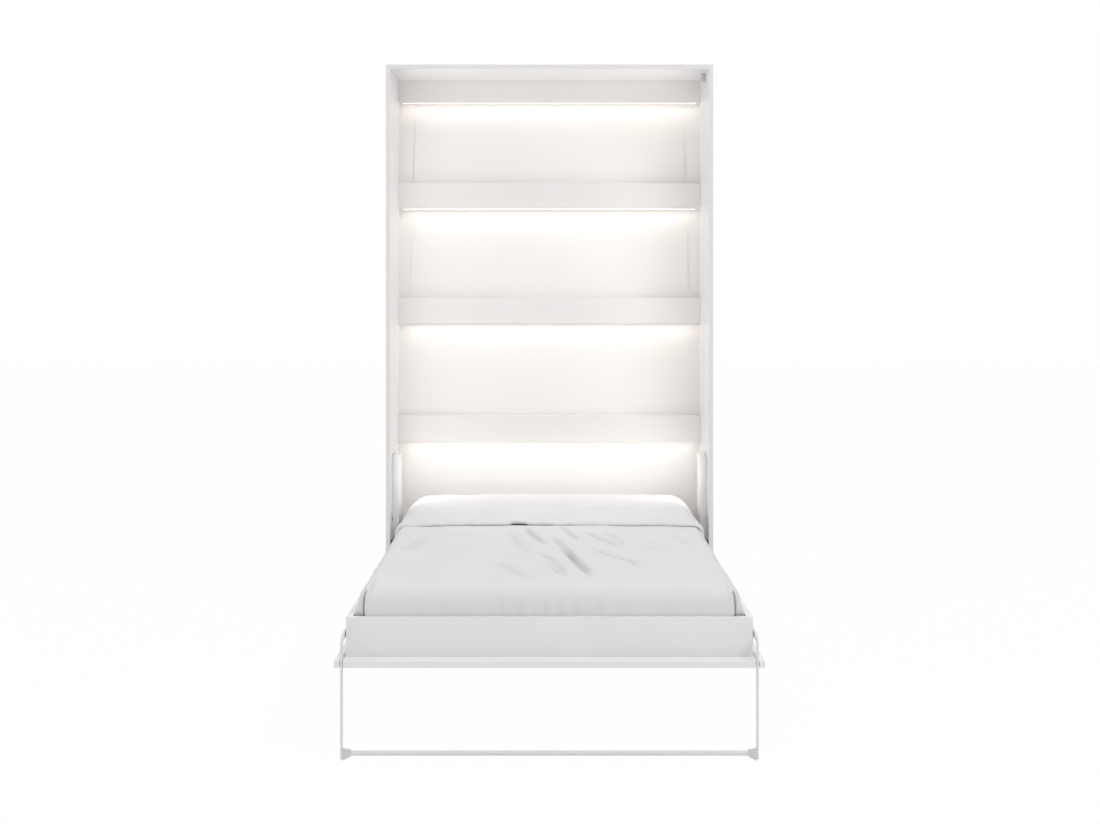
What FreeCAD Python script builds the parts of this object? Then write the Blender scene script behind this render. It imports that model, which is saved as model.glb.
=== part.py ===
import FreeCAD, Part

import math
import os
import re

import Sketcher

from FreeCAD import Placement, Rotation, Vector

# Wall bed, lowered for sleeping. All lengths are in millimetres.
# X runs along the wall, +Y points at the wall and +Z up. The origin is on the floor, in the middle of the
# box round the lowered bed and its cabinet.

# The driving dimensions. Every other size in this file is worked out from them.
SIZES = {
    # mattress, which sets the size of the bed and so of the cabinet
    "mattress_width": 1080,
    "mattress_length": 2000,
    "mattress_height": 118,
    "mattress_side_gap": 19.5,
    "mattress_head_gap": 3,
    "mattress_foot_gap": 9,
    "mattress_corner": 26,
    "mattress_crown": 5,
    "mattress_draw": 8,
    # bed: boards, and the spaces between it and the cabinet
    "bed_board": 18,
    "panel_level": 260,
    "panel_side_gap": 3,
    "panel_top_gap": 3,
    "mechanism_gap": 29,
    "foot_lip": 68,
    "frame_height": 112,
    "head_reach": 360,
    "bay_gap": 12,
    # cabinet boards
    "board": 16,
    "rear_inset": 3,
    "rear_lift": 20,
    # crossbars, and the space behind them
    "bar_height": 103,
    "top_bar_height": 88,
    "bar_standoff": 43,
    # light under each upper crossbar
    "light_width": 17,
    "light_height": 8,
    "light_wall": 1.2,
    "light_end_gap": 20,
    "diffuser_play": 0.1,
    "sensor_width": 16,
    "sensor_side": 32,
    "sensor_setback": 140,
    "sensor_lens": 5,
    "sensor_lens_rise": 2,
    "driver_length": 160,
    "driver_depth": 38,
    "driver_height": 30,
    "driver_from_middle": 250,
    "inlet_width": 20,
    "inlet_height": 12,
    "inlet_depth": 10,
    "inlet_pin": 1.2,
    "inlet_pin_spacing": 9,
    # feet and wall angles of the cabinet
    "glide_half": 7.5,
    "glide_height": 4,
    "glide_inset": 40,
    "angle_width": 60,
    "angle_leg": 40,
    "angle_drop": 60,
    "angle_wall": 3,
    "angle_end_gap": 36.5,
    "wall_hole": 3.25,
    "wall_hole_drop": 42,
    # bed pivot, behind the cabinet's front and above the front panel
    "pivot_setback": 75,
    "pivot_rise": 57,
    "pin_radius": 8,
    "pin_play": 0.05,
    "collar_radius": 12,
    "bushing_wall": 3,
    "bushing_rise": 2,
    "pin_end_gap": 4,
    # hinge plate on the side panel, measured from the pivot
    "plate_thick": 4,
    "plate_lobe": 48,
    "plate_front": 10,
    "plate_rear": 175,
    "plate_foot": 35,
    "plate_step": 111,
    "plate_arm_width": 60,
    "plate_arm_height": 244,
    "plate_corner": 12,
    # bracket on the bed's rail
    "bracket_thick": 3,
    "bracket_height": 70,
    "bracket_overhang": 30,
    # gas spring: its upper stud is measured from the pivot, its lower one is the crank
    "spring_stud_offset": 145,
    "spring_stud_rise": 325,
    "spring_crank": 100,
    "spring_radius": 9.25,
    "spring_barrel_length": 180,
    "spring_neck": 20,
    "spring_neck_radius": 4.5,
    "rod_radius": 4,
    "rod_inside": 275,
    "eye_radius": 9,
    "eye_thick": 10,
    "stud_radius": 5,
    "stud_seat": 8,
    "stud_seat_thick": 3,
    "stud_tip": 2,
    "spring_play": 0.5,
    "open_pivot_gap": 0.4,
    "bore_floor": 10,
    # mechanism cover
    "cover_wall": 1.2,
    "cover_gap": 1,
    "cover_lift": 30,
    "cover_overlap": 1,
    # leg, its pivot measured from the far end of the bed and above the front panel
    "leg_pivot_inset": 123,
    "leg_pivot_rise": 61,
    "leg_bar": 20,
    "leg_thick": 5.6,
    "leg_end_gap": 1,
    "leg_side_gap": 2.9,
    "leg_corner": 30,
    "leg_tip": 5,
    "leg_lift": 3,
    "leg_tube_radius": 7,
    "leg_tube_level": 19,
    "leg_foot_length": 22,
    "leg_foot_height": 30,
    "leg_foot_wall": 2,
    "slot_play": 2,
    "bolt_radius": 4,
    "bolt_head": 7,
    "bolt_head_height": 3,
    "nut_radius": 7,
    "nut_height": 5,
    "bolt_play": 0.05,
    # slatted base
    "slat_rail_width": 30,
    "slat_rail_height": 24,
    "slat_rail_rise": 10,
    "slat_width": 68,
    "slat_thick": 8,
    "slat_crown": 10,
    "slat_end_gap": 8,
    "slat_first": 70,
    "slat_count": 14,
    "cap_floor": 3,
    "cap_wall": 3,
    "cap_length": 34,
    "cap_play": 0.2,
    "cap_headroom": 1.4,
    # duvet, pillow and the duvet's turned-back end
    "soft_gap": 0.4,
    "duvet_thick": 20,
    "duvet_side": 18,
    "duvet_drop": 72,
    "duvet_corner": 30,
    "pillow_length": 340,
    "pillow_side_gap": 60,
    "pillow_height": 52,
    "pillow_edge": 16,
    "fold_length": 713,
    "fold_rise": 336,
    "fold_lip": 14,
    "fold_top": 68,
    "fold_side": 8,
    "fold_drop": 42,
    "fold_corner": 80,
    # one overrun for every cut
    "overrun": 2,
}

# Heights of the crossbars' lower edges, apart from the top one's, as shares of the height under the top.
BAR_LEVEL_SHARES = (0.763, 0.551, 0.3324, 0.0184)

doc = FreeCAD.newDocument("WallBed")
sheet = doc.addObject("Spreadsheet::Sheet", "Sheet")
for row, (alias, value) in enumerate(SIZES.items(), start=1):
    sheet.set(f"A{row}", alias)
    sheet.set(f"B{row}", str(value))
    sheet.setAlias(f"B{row}", alias)
doc.recompute()


def bound(text):
    """An expression in which every driving dimension is named as a cell of the sheet."""
    def cell(word):
        return f"Sheet.{word.group(0)}" if word.group(0) in SIZES else word.group(0)
    return re.sub(r"[a-z][a-z_]*", cell, str(text))


def worked_out(text):
    """The value of such an expression."""
    return float(sheet.evalExpression(bound(text)))


# Places that several pieces share, as expressions of the driving dimensions.
RAIL_INSIDE = "(mattress_width / 2 + mattress_side_gap)"
FRAME_SIDE = f"({RAIL_INSIDE} + bed_board)"
INNER = f"({FRAME_SIDE} + mechanism_gap)"
OUTSIDE = f"({INNER} + board)"
BED_INSIDE = "(mattress_length + mattress_head_gap + mattress_foot_gap)"
BED_REACH = f"({BED_INSIDE} + bed_board * 2 + foot_lip - head_reach)"
BAY_DEPTH = "(head_reach + bay_gap)"
CAB_DEPTH = f"({BAY_DEPTH} + board * 2 + bar_standoff + rear_inset)"
FRONT = f"({BED_REACH} / 2 - {CAB_DEPTH} / 2)"
BAY_BACK = f"({FRONT} + {BAY_DEPTH})"
BACK_FACE = f"({BAY_BACK} + board + bar_standoff)"
CAB_REAR = f"({FRONT} + {CAB_DEPTH})"
BED_FOOT = f"({FRONT} - {BED_REACH})"
BED_HEAD = f"({FRONT} + head_reach)"
HEAD_INSIDE = f"({BED_HEAD} - bed_board)"
FOOT_INSIDE = f"({BED_FOOT} + foot_lip + bed_board)"
PANEL_TOP = "(panel_level + bed_board)"
FRAME_TOP = f"({PANEL_TOP} + frame_height)"
PIVOT_Y = f"({FRONT} + pivot_setback)"
PIVOT_Z = f"({PANEL_TOP} + pivot_rise)"
CEILING = f"({PIVOT_Z} + {BED_REACH} + pivot_setback + panel_top_gap)"
CAB_TOP = f"({CEILING} + board)"
PLATE_FACE = f"({INNER} - plate_thick)"
PLATE_LEFT = f"({PIVOT_Y} + plate_front)"
PLATE_RIGHT = f"({PIVOT_Y} + plate_rear)"
ARM_LEFT = f"({PLATE_RIGHT} - plate_arm_width)"
PLATE_FOOT = f"({PIVOT_Z} - plate_foot)"
PLATE_STEP = f"({PIVOT_Z} + plate_step)"
PLATE_TOP = f"({PLATE_STEP} + plate_arm_height)"
BRACKET_FACE = f"({FRAME_SIDE} + bracket_thick)"
STUD_Y = f"({PIVOT_Y} + spring_stud_offset)"
STUD_Z = f"({PIVOT_Z} + spring_stud_rise)"
CRANK_Y = f"({PIVOT_Y} + spring_crank)"
SPRING_X = f"({PLATE_FACE} - spring_play - spring_radius)"
EYE_INSIDE = f"({SPRING_X} - eye_thick / 2)"
COVER_INSIDE = f"({BRACKET_FACE} + cover_gap)"
COVER_BOTTOM = f"({PIVOT_Z} + cover_lift)"
COVER_TOP = f"({PLATE_TOP} + cover_overlap)"
LEG_Y = f"({BED_FOOT} + leg_pivot_inset)"
LEG_Z = f"({PANEL_TOP} + leg_pivot_rise)"
LEG_INSIDE = f"({FRAME_SIDE} + leg_side_gap)"
LEG_OUTSIDE = f"({LEG_INSIDE} + leg_thick)"
LEG_FRONT = f"({BED_FOOT} + leg_end_gap)"
SLAT_RAIL_TOP = f"({PANEL_TOP} + slat_rail_rise + slat_rail_height)"
SLAT_SEAT = f"({SLAT_RAIL_TOP} + cap_floor)"
SLAT_TOP = f"({SLAT_SEAT} + slat_thick + slat_crown)"
BAR_LEVELS = [f"({CEILING} - top_bar_height)"] + [f"({CEILING} * {share})" for share in BAR_LEVEL_SHARES]
BAR_TOPS = [CEILING] + [f"({level} + bar_height)" for level in BAR_LEVELS[1:]]
ANGLE_X = f"({INNER} - angle_end_gap - angle_width / 2)"

# Turns that lay a cylinder, whose axis is Z, along another axis.
ALONG_X = Rotation(Vector(0, 1, 0), 90)
ALONG_Y = Rotation(Vector(1, 0, 0), -90)
UPRIGHT = Rotation()

# A turn about X whose angle is bound afterwards.
TURNED_ABOUT_X = Rotation(Vector(1, 0, 0), 1)

SIDES = {"left": -1, "right": 1}
nodes = []


def keep(piece, label):
    """Name a finished sub-part and list it for writing."""
    piece.Label = label
    nodes.append(piece)
    return piece


def put(piece, x, y, z):
    """Bind a piece's place to the sheet."""
    for axis, place in (("x", x), ("y", y), ("z", z)):
        piece.setExpression(f"Placement.Base.{axis}", bound(place))


def block(x, y, z, name="Block"):
    """A box between two planes on each axis, each pair given as expressions, low then high."""
    box = doc.addObject("Part::Box", name)
    for prop, (low, high) in (("Length", x), ("Width", y), ("Height", z)):
        box.setExpression(prop, bound(f"{high} - {low}"))
    put(box, x[0], y[0], z[0])
    return box


def rod(radius, length, place, turn=UPRIGHT, name="Rod"):
    """A cylinder from its place along its turned axis."""
    cylinder = doc.addObject("Part::Cylinder", name)
    cylinder.setExpression("Radius", bound(radius))
    cylinder.setExpression("Height", bound(length))
    cylinder.Placement = Placement(Vector(), turn)
    put(cylinder, *place)
    return cylinder


def join(pieces, name="Join"):
    """Several pieces as one object: fused where they meet, side by side where they don't."""
    fuse = doc.addObject("Part::MultiFuse", name)
    fuse.Shapes = pieces
    fuse.Refine = True
    return fuse


def less(base, tools, name="Cut"):
    """A piece with others taken out of it."""
    cut = doc.addObject("Part::Cut", name)
    cut.Base = base
    cut.Tool = tools[0] if len(tools) == 1 else join(tools, "Tools")
    cut.Refine = True
    return cut


def span(side, near, far):
    """The X range between two distances from the middle plane, low then high, on one side."""
    return (near, far) if side > 0 else (f"-{far}", f"-{near}")


def start(side, near, far):
    """The lower X of that range."""
    return span(side, near, far)[0]


def outline_body(name, plane, corners):
    """A body with one sketch on an origin plane, closed through corners given as pairs of expressions."""
    body = doc.addObject("PartDesign::Body", name)
    sketch = body.newObject("Sketcher::SketchObject", f"{name}Outline")
    origin_plane = [part for part in body.Origin.OriginFeatures if part.Role == plane][0]
    sketch.AttachmentSupport = [(origin_plane, "")]
    sketch.MapMode = "FlatFace"
    places = [[worked_out(place) for place in corner] for corner in corners]
    for index, (across, up) in enumerate(places):
        end = places[(index + 1) % len(places)]
        sketch.addGeometry(Part.LineSegment(Vector(across, up, 0), Vector(*end, 0)), False)
    for index, corner in enumerate(corners):
        sketch.addConstraint(Sketcher.Constraint("Coincident", index - 1 if index else len(corners) - 1, 2,
                                                 index, 1))
        for kind, place in zip(("DistanceX", "DistanceY"), corner):
            number = sketch.addConstraint(Sketcher.Constraint(kind, -1, 1, index, 1, worked_out(place)))
            sketch.setExpression(f"Constraints[{number}]", bound(place))
    return body, sketch


def pad(name, plane, corners, thick, x, y="0", z="0"):
    """A plate: a closed outline on an origin plane, padded to its thickness and put in its place."""
    body, sketch = outline_body(name, plane, corners)
    plate = body.newObject("PartDesign::Pad", f"{name}Pad")
    plate.Profile = sketch
    plate.setExpression("Length", bound(thick))
    put(body, x, y, z)
    doc.recompute()
    return body, plate


def round_corners(body, feature, corners, radius):
    """Round the edges of a plate on the YZ plane that stand on the given corners."""
    places = [Vector(0, worked_out(across), worked_out(up)) for across, up in corners]
    chosen = []
    for number, edge in enumerate(feature.Shape.Edges, start=1):
        middle = edge.CenterOfMass
        runs_along_x = abs(edge.Vertexes[0].X - edge.Vertexes[-1].X) > abs(edge.Length) / 2
        flat = Vector(0, middle.y, middle.z)
        if runs_along_x and any(flat.isEqual(place, edge.Length / 10) for place in places):
            chosen.append(f"Edge{number}")
    fillet = body.newObject("PartDesign::Fillet", f"{body.Name}Round")
    fillet.Base = (feature, chosen)
    fillet.setExpression("Radius", bound(radius))
    doc.recompute()
    return fillet


def bore(side, near, far, y, z, radius):
    """A hole along X between two distances from the middle plane."""
    return rod(radius, f"({far} - {near})", (start(side, near, far), y, z), ALONG_X, "Bore")


def hexagon(side, near, far, y, z, radius):
    """A six-sided piece along X between two distances from the middle plane, radius to its corners."""
    prism = doc.addObject("Part::Prism", "Hexagon")
    prism.Polygon = 6
    prism.setExpression("Circumradius", bound(radius))
    prism.setExpression("Height", bound(f"({far} - {near})"))
    prism.Placement = Placement(Vector(), ALONG_X)
    put(prism, start(side, near, far), y, z)
    return prism


# Side panels on their glides, and the top between them.
GLIDE_PLACES = [f"({FRONT} + glide_inset)", f"({CAB_REAR} - glide_inset)"]
glides = []
for word, side in SIDES.items():
    board = block(span(side, INNER, OUTSIDE), (FRONT, CAB_REAR), ("glide_height", CAB_TOP))
    keep(board, f"side_panel_{word}")
    middle = f"({side} * ({INNER} + board / 2))"
    glides += [block((f"({middle} - glide_half)", f"({middle} + glide_half)"),
                     (f"({y} - glide_half)", f"({y} + glide_half)"), ("0", "glide_height"))
               for y in GLIDE_PLACES]
keep(join(glides, "Glides"), "cabinet_glides")
keep(block((f"-{INNER}", INNER), (FRONT, CAB_REAR), (CEILING, CAB_TOP)), "top_panel")

WALL_HOLE_Z = f"({CEILING} - wall_hole_drop)"


def wall_holes():
    """Bores for the two wall screws."""
    return [rod("wall_hole", "(board + angle_wall + overrun * 2)",
                (f"({side} * {ANGLE_X})", f"({BACK_FACE} - angle_wall - overrun)", WALL_HOLE_Z), ALONG_Y)
            for side in SIDES.values()]


back = block((f"-{INNER}", INNER), (BACK_FACE, f"({BACK_FACE} + board)"), ("rear_lift", CEILING))
keep(less(back, wall_holes(), "BackPanel"), "back_panel")

for number, (low, high) in enumerate(zip(BAR_LEVELS, BAR_TOPS), start=1):
    keep(block((f"-{INNER}", INNER), (BAY_BACK, f"({BAY_BACK} + board)"), (low, high)), f"crossbar_{number}")

ledges = [block((f"-{INNER}", INNER), (f"({BAY_BACK} + board)", BACK_FACE), (f"({high} - board)", high))
          for high in BAR_TOPS[1:]]
keep(join(ledges, "Ledges"), "crossbar_ledges")

angles = []
for side in SIDES.values():
    across = (f"({side} * {ANGLE_X} - angle_width / 2)", f"({side} * {ANGLE_X} + angle_width / 2)")
    upright = block(across, (f"({BACK_FACE} - angle_wall)", BACK_FACE),
                    (f"({CEILING} - angle_drop)", CEILING))
    level = block(across, (f"({BACK_FACE} - angle_leg)", BACK_FACE), (f"({CEILING} - angle_wall)", CEILING))
    angles.append(join([upright, level], "Angle"))
keep(less(join(angles), wall_holes(), "WallAngles"), "wall_angles")

# A light under each upper crossbar: a channel open downwards, closed by its diffuser.
LIGHT_END = f"({INNER} - light_end_gap)"
LIGHT_FRONT = f"({BAY_BACK} + board)"
LIGHT_BACK = f"({LIGHT_FRONT} + light_width)"
COVER_FRONT = f"({LIGHT_FRONT} + light_wall + diffuser_play)"
COVER_BACK = f"({LIGHT_BACK} - light_wall - diffuser_play)"
for number, low in enumerate(BAR_LEVELS[:-1], start=1):
    channel = block((f"-{LIGHT_END}", LIGHT_END), (LIGHT_FRONT, LIGHT_BACK), (low, f"({low} + light_height)"))
    hollow = block((f"(-{LIGHT_END} - overrun)", f"({LIGHT_END} + overrun)"),
                   (f"({LIGHT_FRONT} + light_wall)", f"({LIGHT_BACK} - light_wall)"),
                   (f"({low} - overrun)", f"({low} + light_height - light_wall)"))
    keep(less(channel, [hollow], "Channel"), f"led_channel_{number}")
    keep(block((f"-{LIGHT_END}", LIGHT_END), (COVER_FRONT, COVER_BACK), (low, f"({low} + light_wall)"),
               "Diffuser"), f"led_diffuser_{number}")

SENSOR_Y = f"({FRONT} + sensor_setback)"
case = block((f"({INNER} - sensor_width)", INNER), (SENSOR_Y, f"({SENSOR_Y} + sensor_side)"),
             (f"({CEILING} - sensor_side)", CEILING))
lens_place = (f"({INNER} - sensor_width / 2)", f"({SENSOR_Y} - sensor_lens_rise)",
              f"({CEILING} - sensor_side / 2)")
lens = rod("sensor_lens", "(sensor_lens_rise + overrun)", lens_place, ALONG_Y)
keep(join([case, lens], "Sensor"), "led_sensor")

DRIVER_END = "(driver_from_middle + driver_length)"
DRIVER_Y = f"({BACK_FACE} - driver_depth / 2)"
DRIVER_Z = f"({CEILING} - driver_height / 2)"
case = block(("driver_from_middle", DRIVER_END), (f"({BACK_FACE} - driver_depth)", BACK_FACE),
             (f"({CEILING} - driver_height)", CEILING))
recess = block((f"({DRIVER_END} - inlet_depth)", f"({DRIVER_END} + overrun)"),
               (f"({DRIVER_Y} - inlet_width / 2)", f"({DRIVER_Y} + inlet_width / 2)"),
               (f"({DRIVER_Z} - inlet_height / 2)", f"({DRIVER_Z} + inlet_height / 2)"))
PIN_START = f"({DRIVER_END} - inlet_depth - overrun)"
pins = [rod("inlet_pin", "(inlet_depth - inlet_pin + overrun)",
            (PIN_START, f"({DRIVER_Y} + {half} * inlet_pin_spacing / 2)", DRIVER_Z), ALONG_X)
        for half in SIDES.values()]
keep(join([less(case, [recess])] + pins, "Driver"), "led_driver")

# Hinge plates, pivot pins, spring studs and mechanism covers on the side panels.
for word, side in SIDES.items():
    corners = [
        (PIVOT_Y, PLATE_FOOT),
        (PLATE_RIGHT, PLATE_FOOT),
        (PLATE_RIGHT, PLATE_TOP),
        (ARM_LEFT, PLATE_TOP),
        (ARM_LEFT, PLATE_STEP),
        (PLATE_LEFT, PLATE_STEP),
        (PLATE_LEFT, f"({PIVOT_Z} + pin_radius)"),
        (PIVOT_Y, f"({PIVOT_Z} + pin_radius)"),
    ]
    inside = start(side, PLATE_FACE, INNER)
    body, plate = pad(f"Plate{word.title()}", "YZ_Plane", corners, "plate_thick", inside)
    round_corners(body, plate, corners[1:-2], "plate_corner")
    lobe = rod("plate_lobe", "plate_thick", (inside, PIVOT_Y, PIVOT_Z), ALONG_X)
    plate = join([body, lobe])
    hole = bore(side, f"({PLATE_FACE} - overrun)", f"({INNER} + overrun)", PIVOT_Y, PIVOT_Z,
                "(pin_radius + pin_play)")
    keep(less(plate, [hole], "HingePlate"), f"hinge_plate_{word}")

    tip = f"({RAIL_INSIDE} + pin_end_gap)"
    shaft = bore(side, tip, INNER, PIVOT_Y, PIVOT_Z, "pin_radius")
    shoulder = f"({BRACKET_FACE} + bushing_rise + spring_play)"
    collar = hexagon(side, shoulder, PLATE_FACE, PIVOT_Y, PIVOT_Z, "collar_radius")
    keep(join([shaft, collar], "PivotPin"), f"pivot_pin_{word}")

    shaft = bore(side, f"({EYE_INSIDE} - stud_tip)", PLATE_FACE, STUD_Y, STUD_Z, "stud_radius")
    seat = hexagon(side, f"({PLATE_FACE} - stud_seat_thick)", PLATE_FACE, STUD_Y, STUD_Z, "stud_seat")
    keep(join([shaft, seat], "SpringStud"), f"spring_stud_{word}")

    shell = block(span(side, COVER_INSIDE, PLATE_FACE), (PLATE_LEFT, PLATE_RIGHT), (COVER_BOTTOM, COVER_TOP))
    hollow = block(span(side, f"({COVER_INSIDE} + cover_wall)", f"({PLATE_FACE} + overrun)"),
                   (f"({PLATE_LEFT} + cover_wall)", f"({PLATE_RIGHT} - cover_wall)"),
                   (f"({COVER_BOTTOM} - overrun)", f"({COVER_TOP} - cover_wall)"))
    keep(less(shell, [hollow], "Cover"), f"mechanism_cover_{word}")

# The bed: front panel, slotted for the leg, and the frame that stands on it.
SLOT_END = f"({LEG_Y} + leg_bar / 2 + slot_play)"
panel = block((f"(-{INNER} + panel_side_gap)", f"({INNER} - panel_side_gap)"), (BED_FOOT, BED_HEAD),
              ("panel_level", PANEL_TOP))
slots = [block(span(side, f"({LEG_INSIDE} - slot_play)", f"({LEG_OUTSIDE} + slot_play)"),
               (f"({BED_FOOT} - overrun)", SLOT_END), ("(panel_level - overrun)", f"({PANEL_TOP} + overrun)"))
         for side in SIDES.values()]
keep(less(panel, slots, "FrontPanel"), "front_panel")

keep(block((f"-{FRAME_SIDE}", FRAME_SIDE), (f"({BED_FOOT} + foot_lip)", FOOT_INSIDE), (PANEL_TOP, FRAME_TOP)),
     "foot_board")
keep(block((f"-{FRAME_SIDE}", FRAME_SIDE), (HEAD_INSIDE, BED_HEAD), (PANEL_TOP, FRAME_TOP)), "head_board")

BRACKET_FRONT = f"({PIVOT_Y} - bracket_overhang)"
BRACKET_REAR = f"({CRANK_Y} + bracket_overhang)"
BRACKET_LOW = f"({PIVOT_Z} - bracket_height / 2)"
BRACKET_HIGH = f"({PIVOT_Z} + bracket_height / 2)"
BUSHING_OUT = "(pin_radius + pin_play + bushing_wall)"
bolts = []
feet = []
for word, side in SIDES.items():
    rail = block(span(side, RAIL_INSIDE, FRAME_SIDE), (FOOT_INSIDE, HEAD_INSIDE), (PANEL_TOP, FRAME_TOP))
    through = (f"({RAIL_INSIDE} - overrun)", f"({BRACKET_FACE} + overrun)")
    holes = [bore(side, *through, PIVOT_Y, PIVOT_Z, f"({BUSHING_OUT} + pin_play)"),
             bore(side, *through, LEG_Y, LEG_Z, "(bolt_radius + bolt_play)")]
    keep(less(rail, holes, "SideRail"), f"side_rail_{word}")

    corners = [(BRACKET_FRONT, BRACKET_LOW), (BRACKET_REAR, BRACKET_LOW), (BRACKET_REAR, BRACKET_HIGH),
               (BRACKET_FRONT, BRACKET_HIGH)]
    body, plate = pad(f"Bracket{word.title()}", "YZ_Plane", corners, "bracket_thick",
                      start(side, FRAME_SIDE, BRACKET_FACE))
    round_corners(body, plate, corners, "plate_corner")
    hole = bore(side, f"({FRAME_SIDE} - overrun)", f"({BRACKET_FACE} + overrun)", PIVOT_Y, PIVOT_Z,
                f"({BUSHING_OUT} + pin_play)")
    keep(less(body, [hole], "PivotBracket"), f"pivot_bracket_{word}")

    sleeve = bore(side, RAIL_INSIDE, f"({BRACKET_FACE} + bushing_rise)", PIVOT_Y, PIVOT_Z, BUSHING_OUT)
    hole = bore(side, f"({RAIL_INSIDE} - overrun)", f"({BRACKET_FACE} + bushing_rise + overrun)",
                PIVOT_Y, PIVOT_Z, "(pin_radius + pin_play)")
    keep(less(sleeve, [hole], "Bushing"), f"pivot_bushing_{word}")

    shaft = bore(side, BRACKET_FACE, f"({EYE_INSIDE} - open_pivot_gap)", CRANK_Y, PIVOT_Z, "stud_radius")
    seat = hexagon(side, BRACKET_FACE, f"({BRACKET_FACE} + stud_seat_thick)", CRANK_Y, PIVOT_Z, "stud_seat")
    keep(join([shaft, seat], "LinkStud"), f"spring_link_stud_{word}")

    shank = bore(side, f"({RAIL_INSIDE} - nut_height)", f"({LEG_OUTSIDE} + bolt_head_height)", LEG_Y, LEG_Z,
                 "bolt_radius")
    nut = hexagon(side, f"({RAIL_INSIDE} - nut_height)", RAIL_INSIDE, LEG_Y, LEG_Z, "nut_radius")
    shoulder = hexagon(side, FRAME_SIDE, f"({LEG_INSIDE} - bolt_play * 2)", LEG_Y, LEG_Z, "nut_radius")
    head = hexagon(side, f"({LEG_OUTSIDE} + bolt_play * 2)", f"({LEG_OUTSIDE} + bolt_head_height)", LEG_Y,
                   LEG_Z, "bolt_head")
    bolts.append(join([shank, nut, shoulder, head], "PivotBolt"))

    # Gas spring, upright about its eye and then turned to its rest angle.
    lean = f"(-atan(({STUD_Y} - {CRANK_Y}) / ({STUD_Z} - {PIVOT_Z})))"
    eye_start = ("(-eye_thick / 2)", "0", "0")
    eye_hole_start = ("(-eye_thick / 2 - overrun)", "0", "0")
    eye_hole_length = "(eye_thick + overrun * 2)"
    eye = rod("eye_radius", "eye_thick", eye_start, ALONG_X)
    neck = rod("spring_neck_radius", "spring_neck", ("0", "0", "(-spring_neck)"))
    barrel = rod("spring_radius", "spring_barrel_length", ("0", "0", "(-spring_neck - spring_barrel_length)"))
    hollow = rod("(rod_radius + pin_play)", "(spring_barrel_length - bore_floor + overrun)",
                 ("0", "0", "(-spring_neck - spring_barrel_length - overrun)"))
    hole = rod("(stud_radius + pin_play)", eye_hole_length, eye_hole_start, ALONG_X)
    cylinder = less(join([eye, neck, barrel]), [hollow, hole], "GasCylinder")
    cylinder.Placement = Placement(Vector(), TURNED_ABOUT_X)
    cylinder.setExpression("Placement.Rotation.Angle", bound(lean))
    put(cylinder, f"({side} * {SPRING_X})", STUD_Y, STUD_Z)
    keep(cylinder, f"gas_cylinder_{word}")

    eye = rod("eye_radius", "eye_thick", eye_start, ALONG_X)
    piston_rod = rod("rod_radius", "rod_inside", ("0", "0", "0"))
    hole = rod("(stud_radius + pin_play)", eye_hole_length, eye_hole_start, ALONG_X)
    spring_rod = less(join([eye, piston_rod]), [hole], "GasRod")
    spring_rod.Placement = Placement(Vector(), TURNED_ABOUT_X)
    spring_rod.setExpression("Placement.Rotation.Angle", bound(lean))
    put(spring_rod, f"({side} * {SPRING_X})", CRANK_Y, PIVOT_Z)
    keep(spring_rod, f"gas_rod_{word}")

    # Leg arm: a flat bar that runs forward from its pivot and turns down to the floor.
    bend = (LEG_FRONT, f"({LEG_Z} + leg_bar / 2)")
    crook = (f"({LEG_FRONT} + leg_bar)", f"({LEG_Z} - leg_bar / 2)")
    tips = [(LEG_FRONT, "leg_lift"), (f"({LEG_FRONT} + leg_bar)", "leg_lift")]
    corners = [(LEG_Y, f"({LEG_Z} + leg_bar / 2)"), bend, *tips, crook, (LEG_Y, f"({LEG_Z} - leg_bar / 2)")]
    inside = start(side, LEG_INSIDE, LEG_OUTSIDE)
    body, plate = pad(f"Arm{word.title()}", "YZ_Plane", corners, "leg_thick", inside)
    plate = round_corners(body, plate, [bend], "leg_corner")
    plate = round_corners(body, plate, [crook], "(leg_corner - leg_bar)")
    round_corners(body, plate, tips, "leg_tip")
    knuckle = rod("(leg_bar / 2)", "leg_thick", (inside, LEG_Y, LEG_Z), ALONG_X)
    hole = bore(side, f"({LEG_INSIDE} - overrun)", f"({LEG_OUTSIDE} + overrun)", LEG_Y, LEG_Z,
                "(bolt_radius + bolt_play)")
    keep(less(join([body, knuckle]), [hole], "LegArm"), f"leg_arm_{word}")

    # Foot: narrows from the arm to the tube.
    foot = doc.addObject("Part::Wedge", "Foot")
    foot_sizes = {
        "Xmin": "(-leg_bar / 2)", "Xmax": "(leg_bar / 2)", "Zmin": "0", "Zmax": "leg_foot_height",
        "X2min": "(-leg_tube_radius - leg_foot_wall)", "X2max": "(leg_tube_radius + leg_foot_wall)",
        "Z2min": "(leg_tube_level - leg_tube_radius - leg_foot_wall)",
        "Z2max": "(leg_tube_level + leg_tube_radius + leg_foot_wall)",
        "Ymin": "0", "Ymax": "leg_foot_length",
    }
    for prop, value in foot_sizes.items():
        foot.setExpression(prop, bound(value))
    foot.Placement = Placement(Vector(), Rotation(Vector(0, 0, 1), 90 * side))
    put(foot, f"({side} * {LEG_INSIDE})", f"({LEG_FRONT} + leg_bar / 2)", "0")
    socket = bore(side, f"({LEG_INSIDE} - leg_foot_length - overrun)", f"({LEG_INSIDE} + overrun)",
                  f"({LEG_FRONT} + leg_bar / 2)", "leg_tube_level", "(leg_tube_radius + bolt_play)")
    feet.append(less(foot, [socket], "Foot"))

keep(join(bolts, "LegBolts"), "leg_pivot_bolts")
keep(join(feet, "LegFeet"), "leg_feet")
tube_place = (f"-{LEG_INSIDE}", f"({LEG_FRONT} + leg_bar / 2)", "leg_tube_level")
keep(rod("leg_tube_radius", f"({LEG_INSIDE} * 2)", tube_place, ALONG_X), "leg_crossbar")

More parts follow.
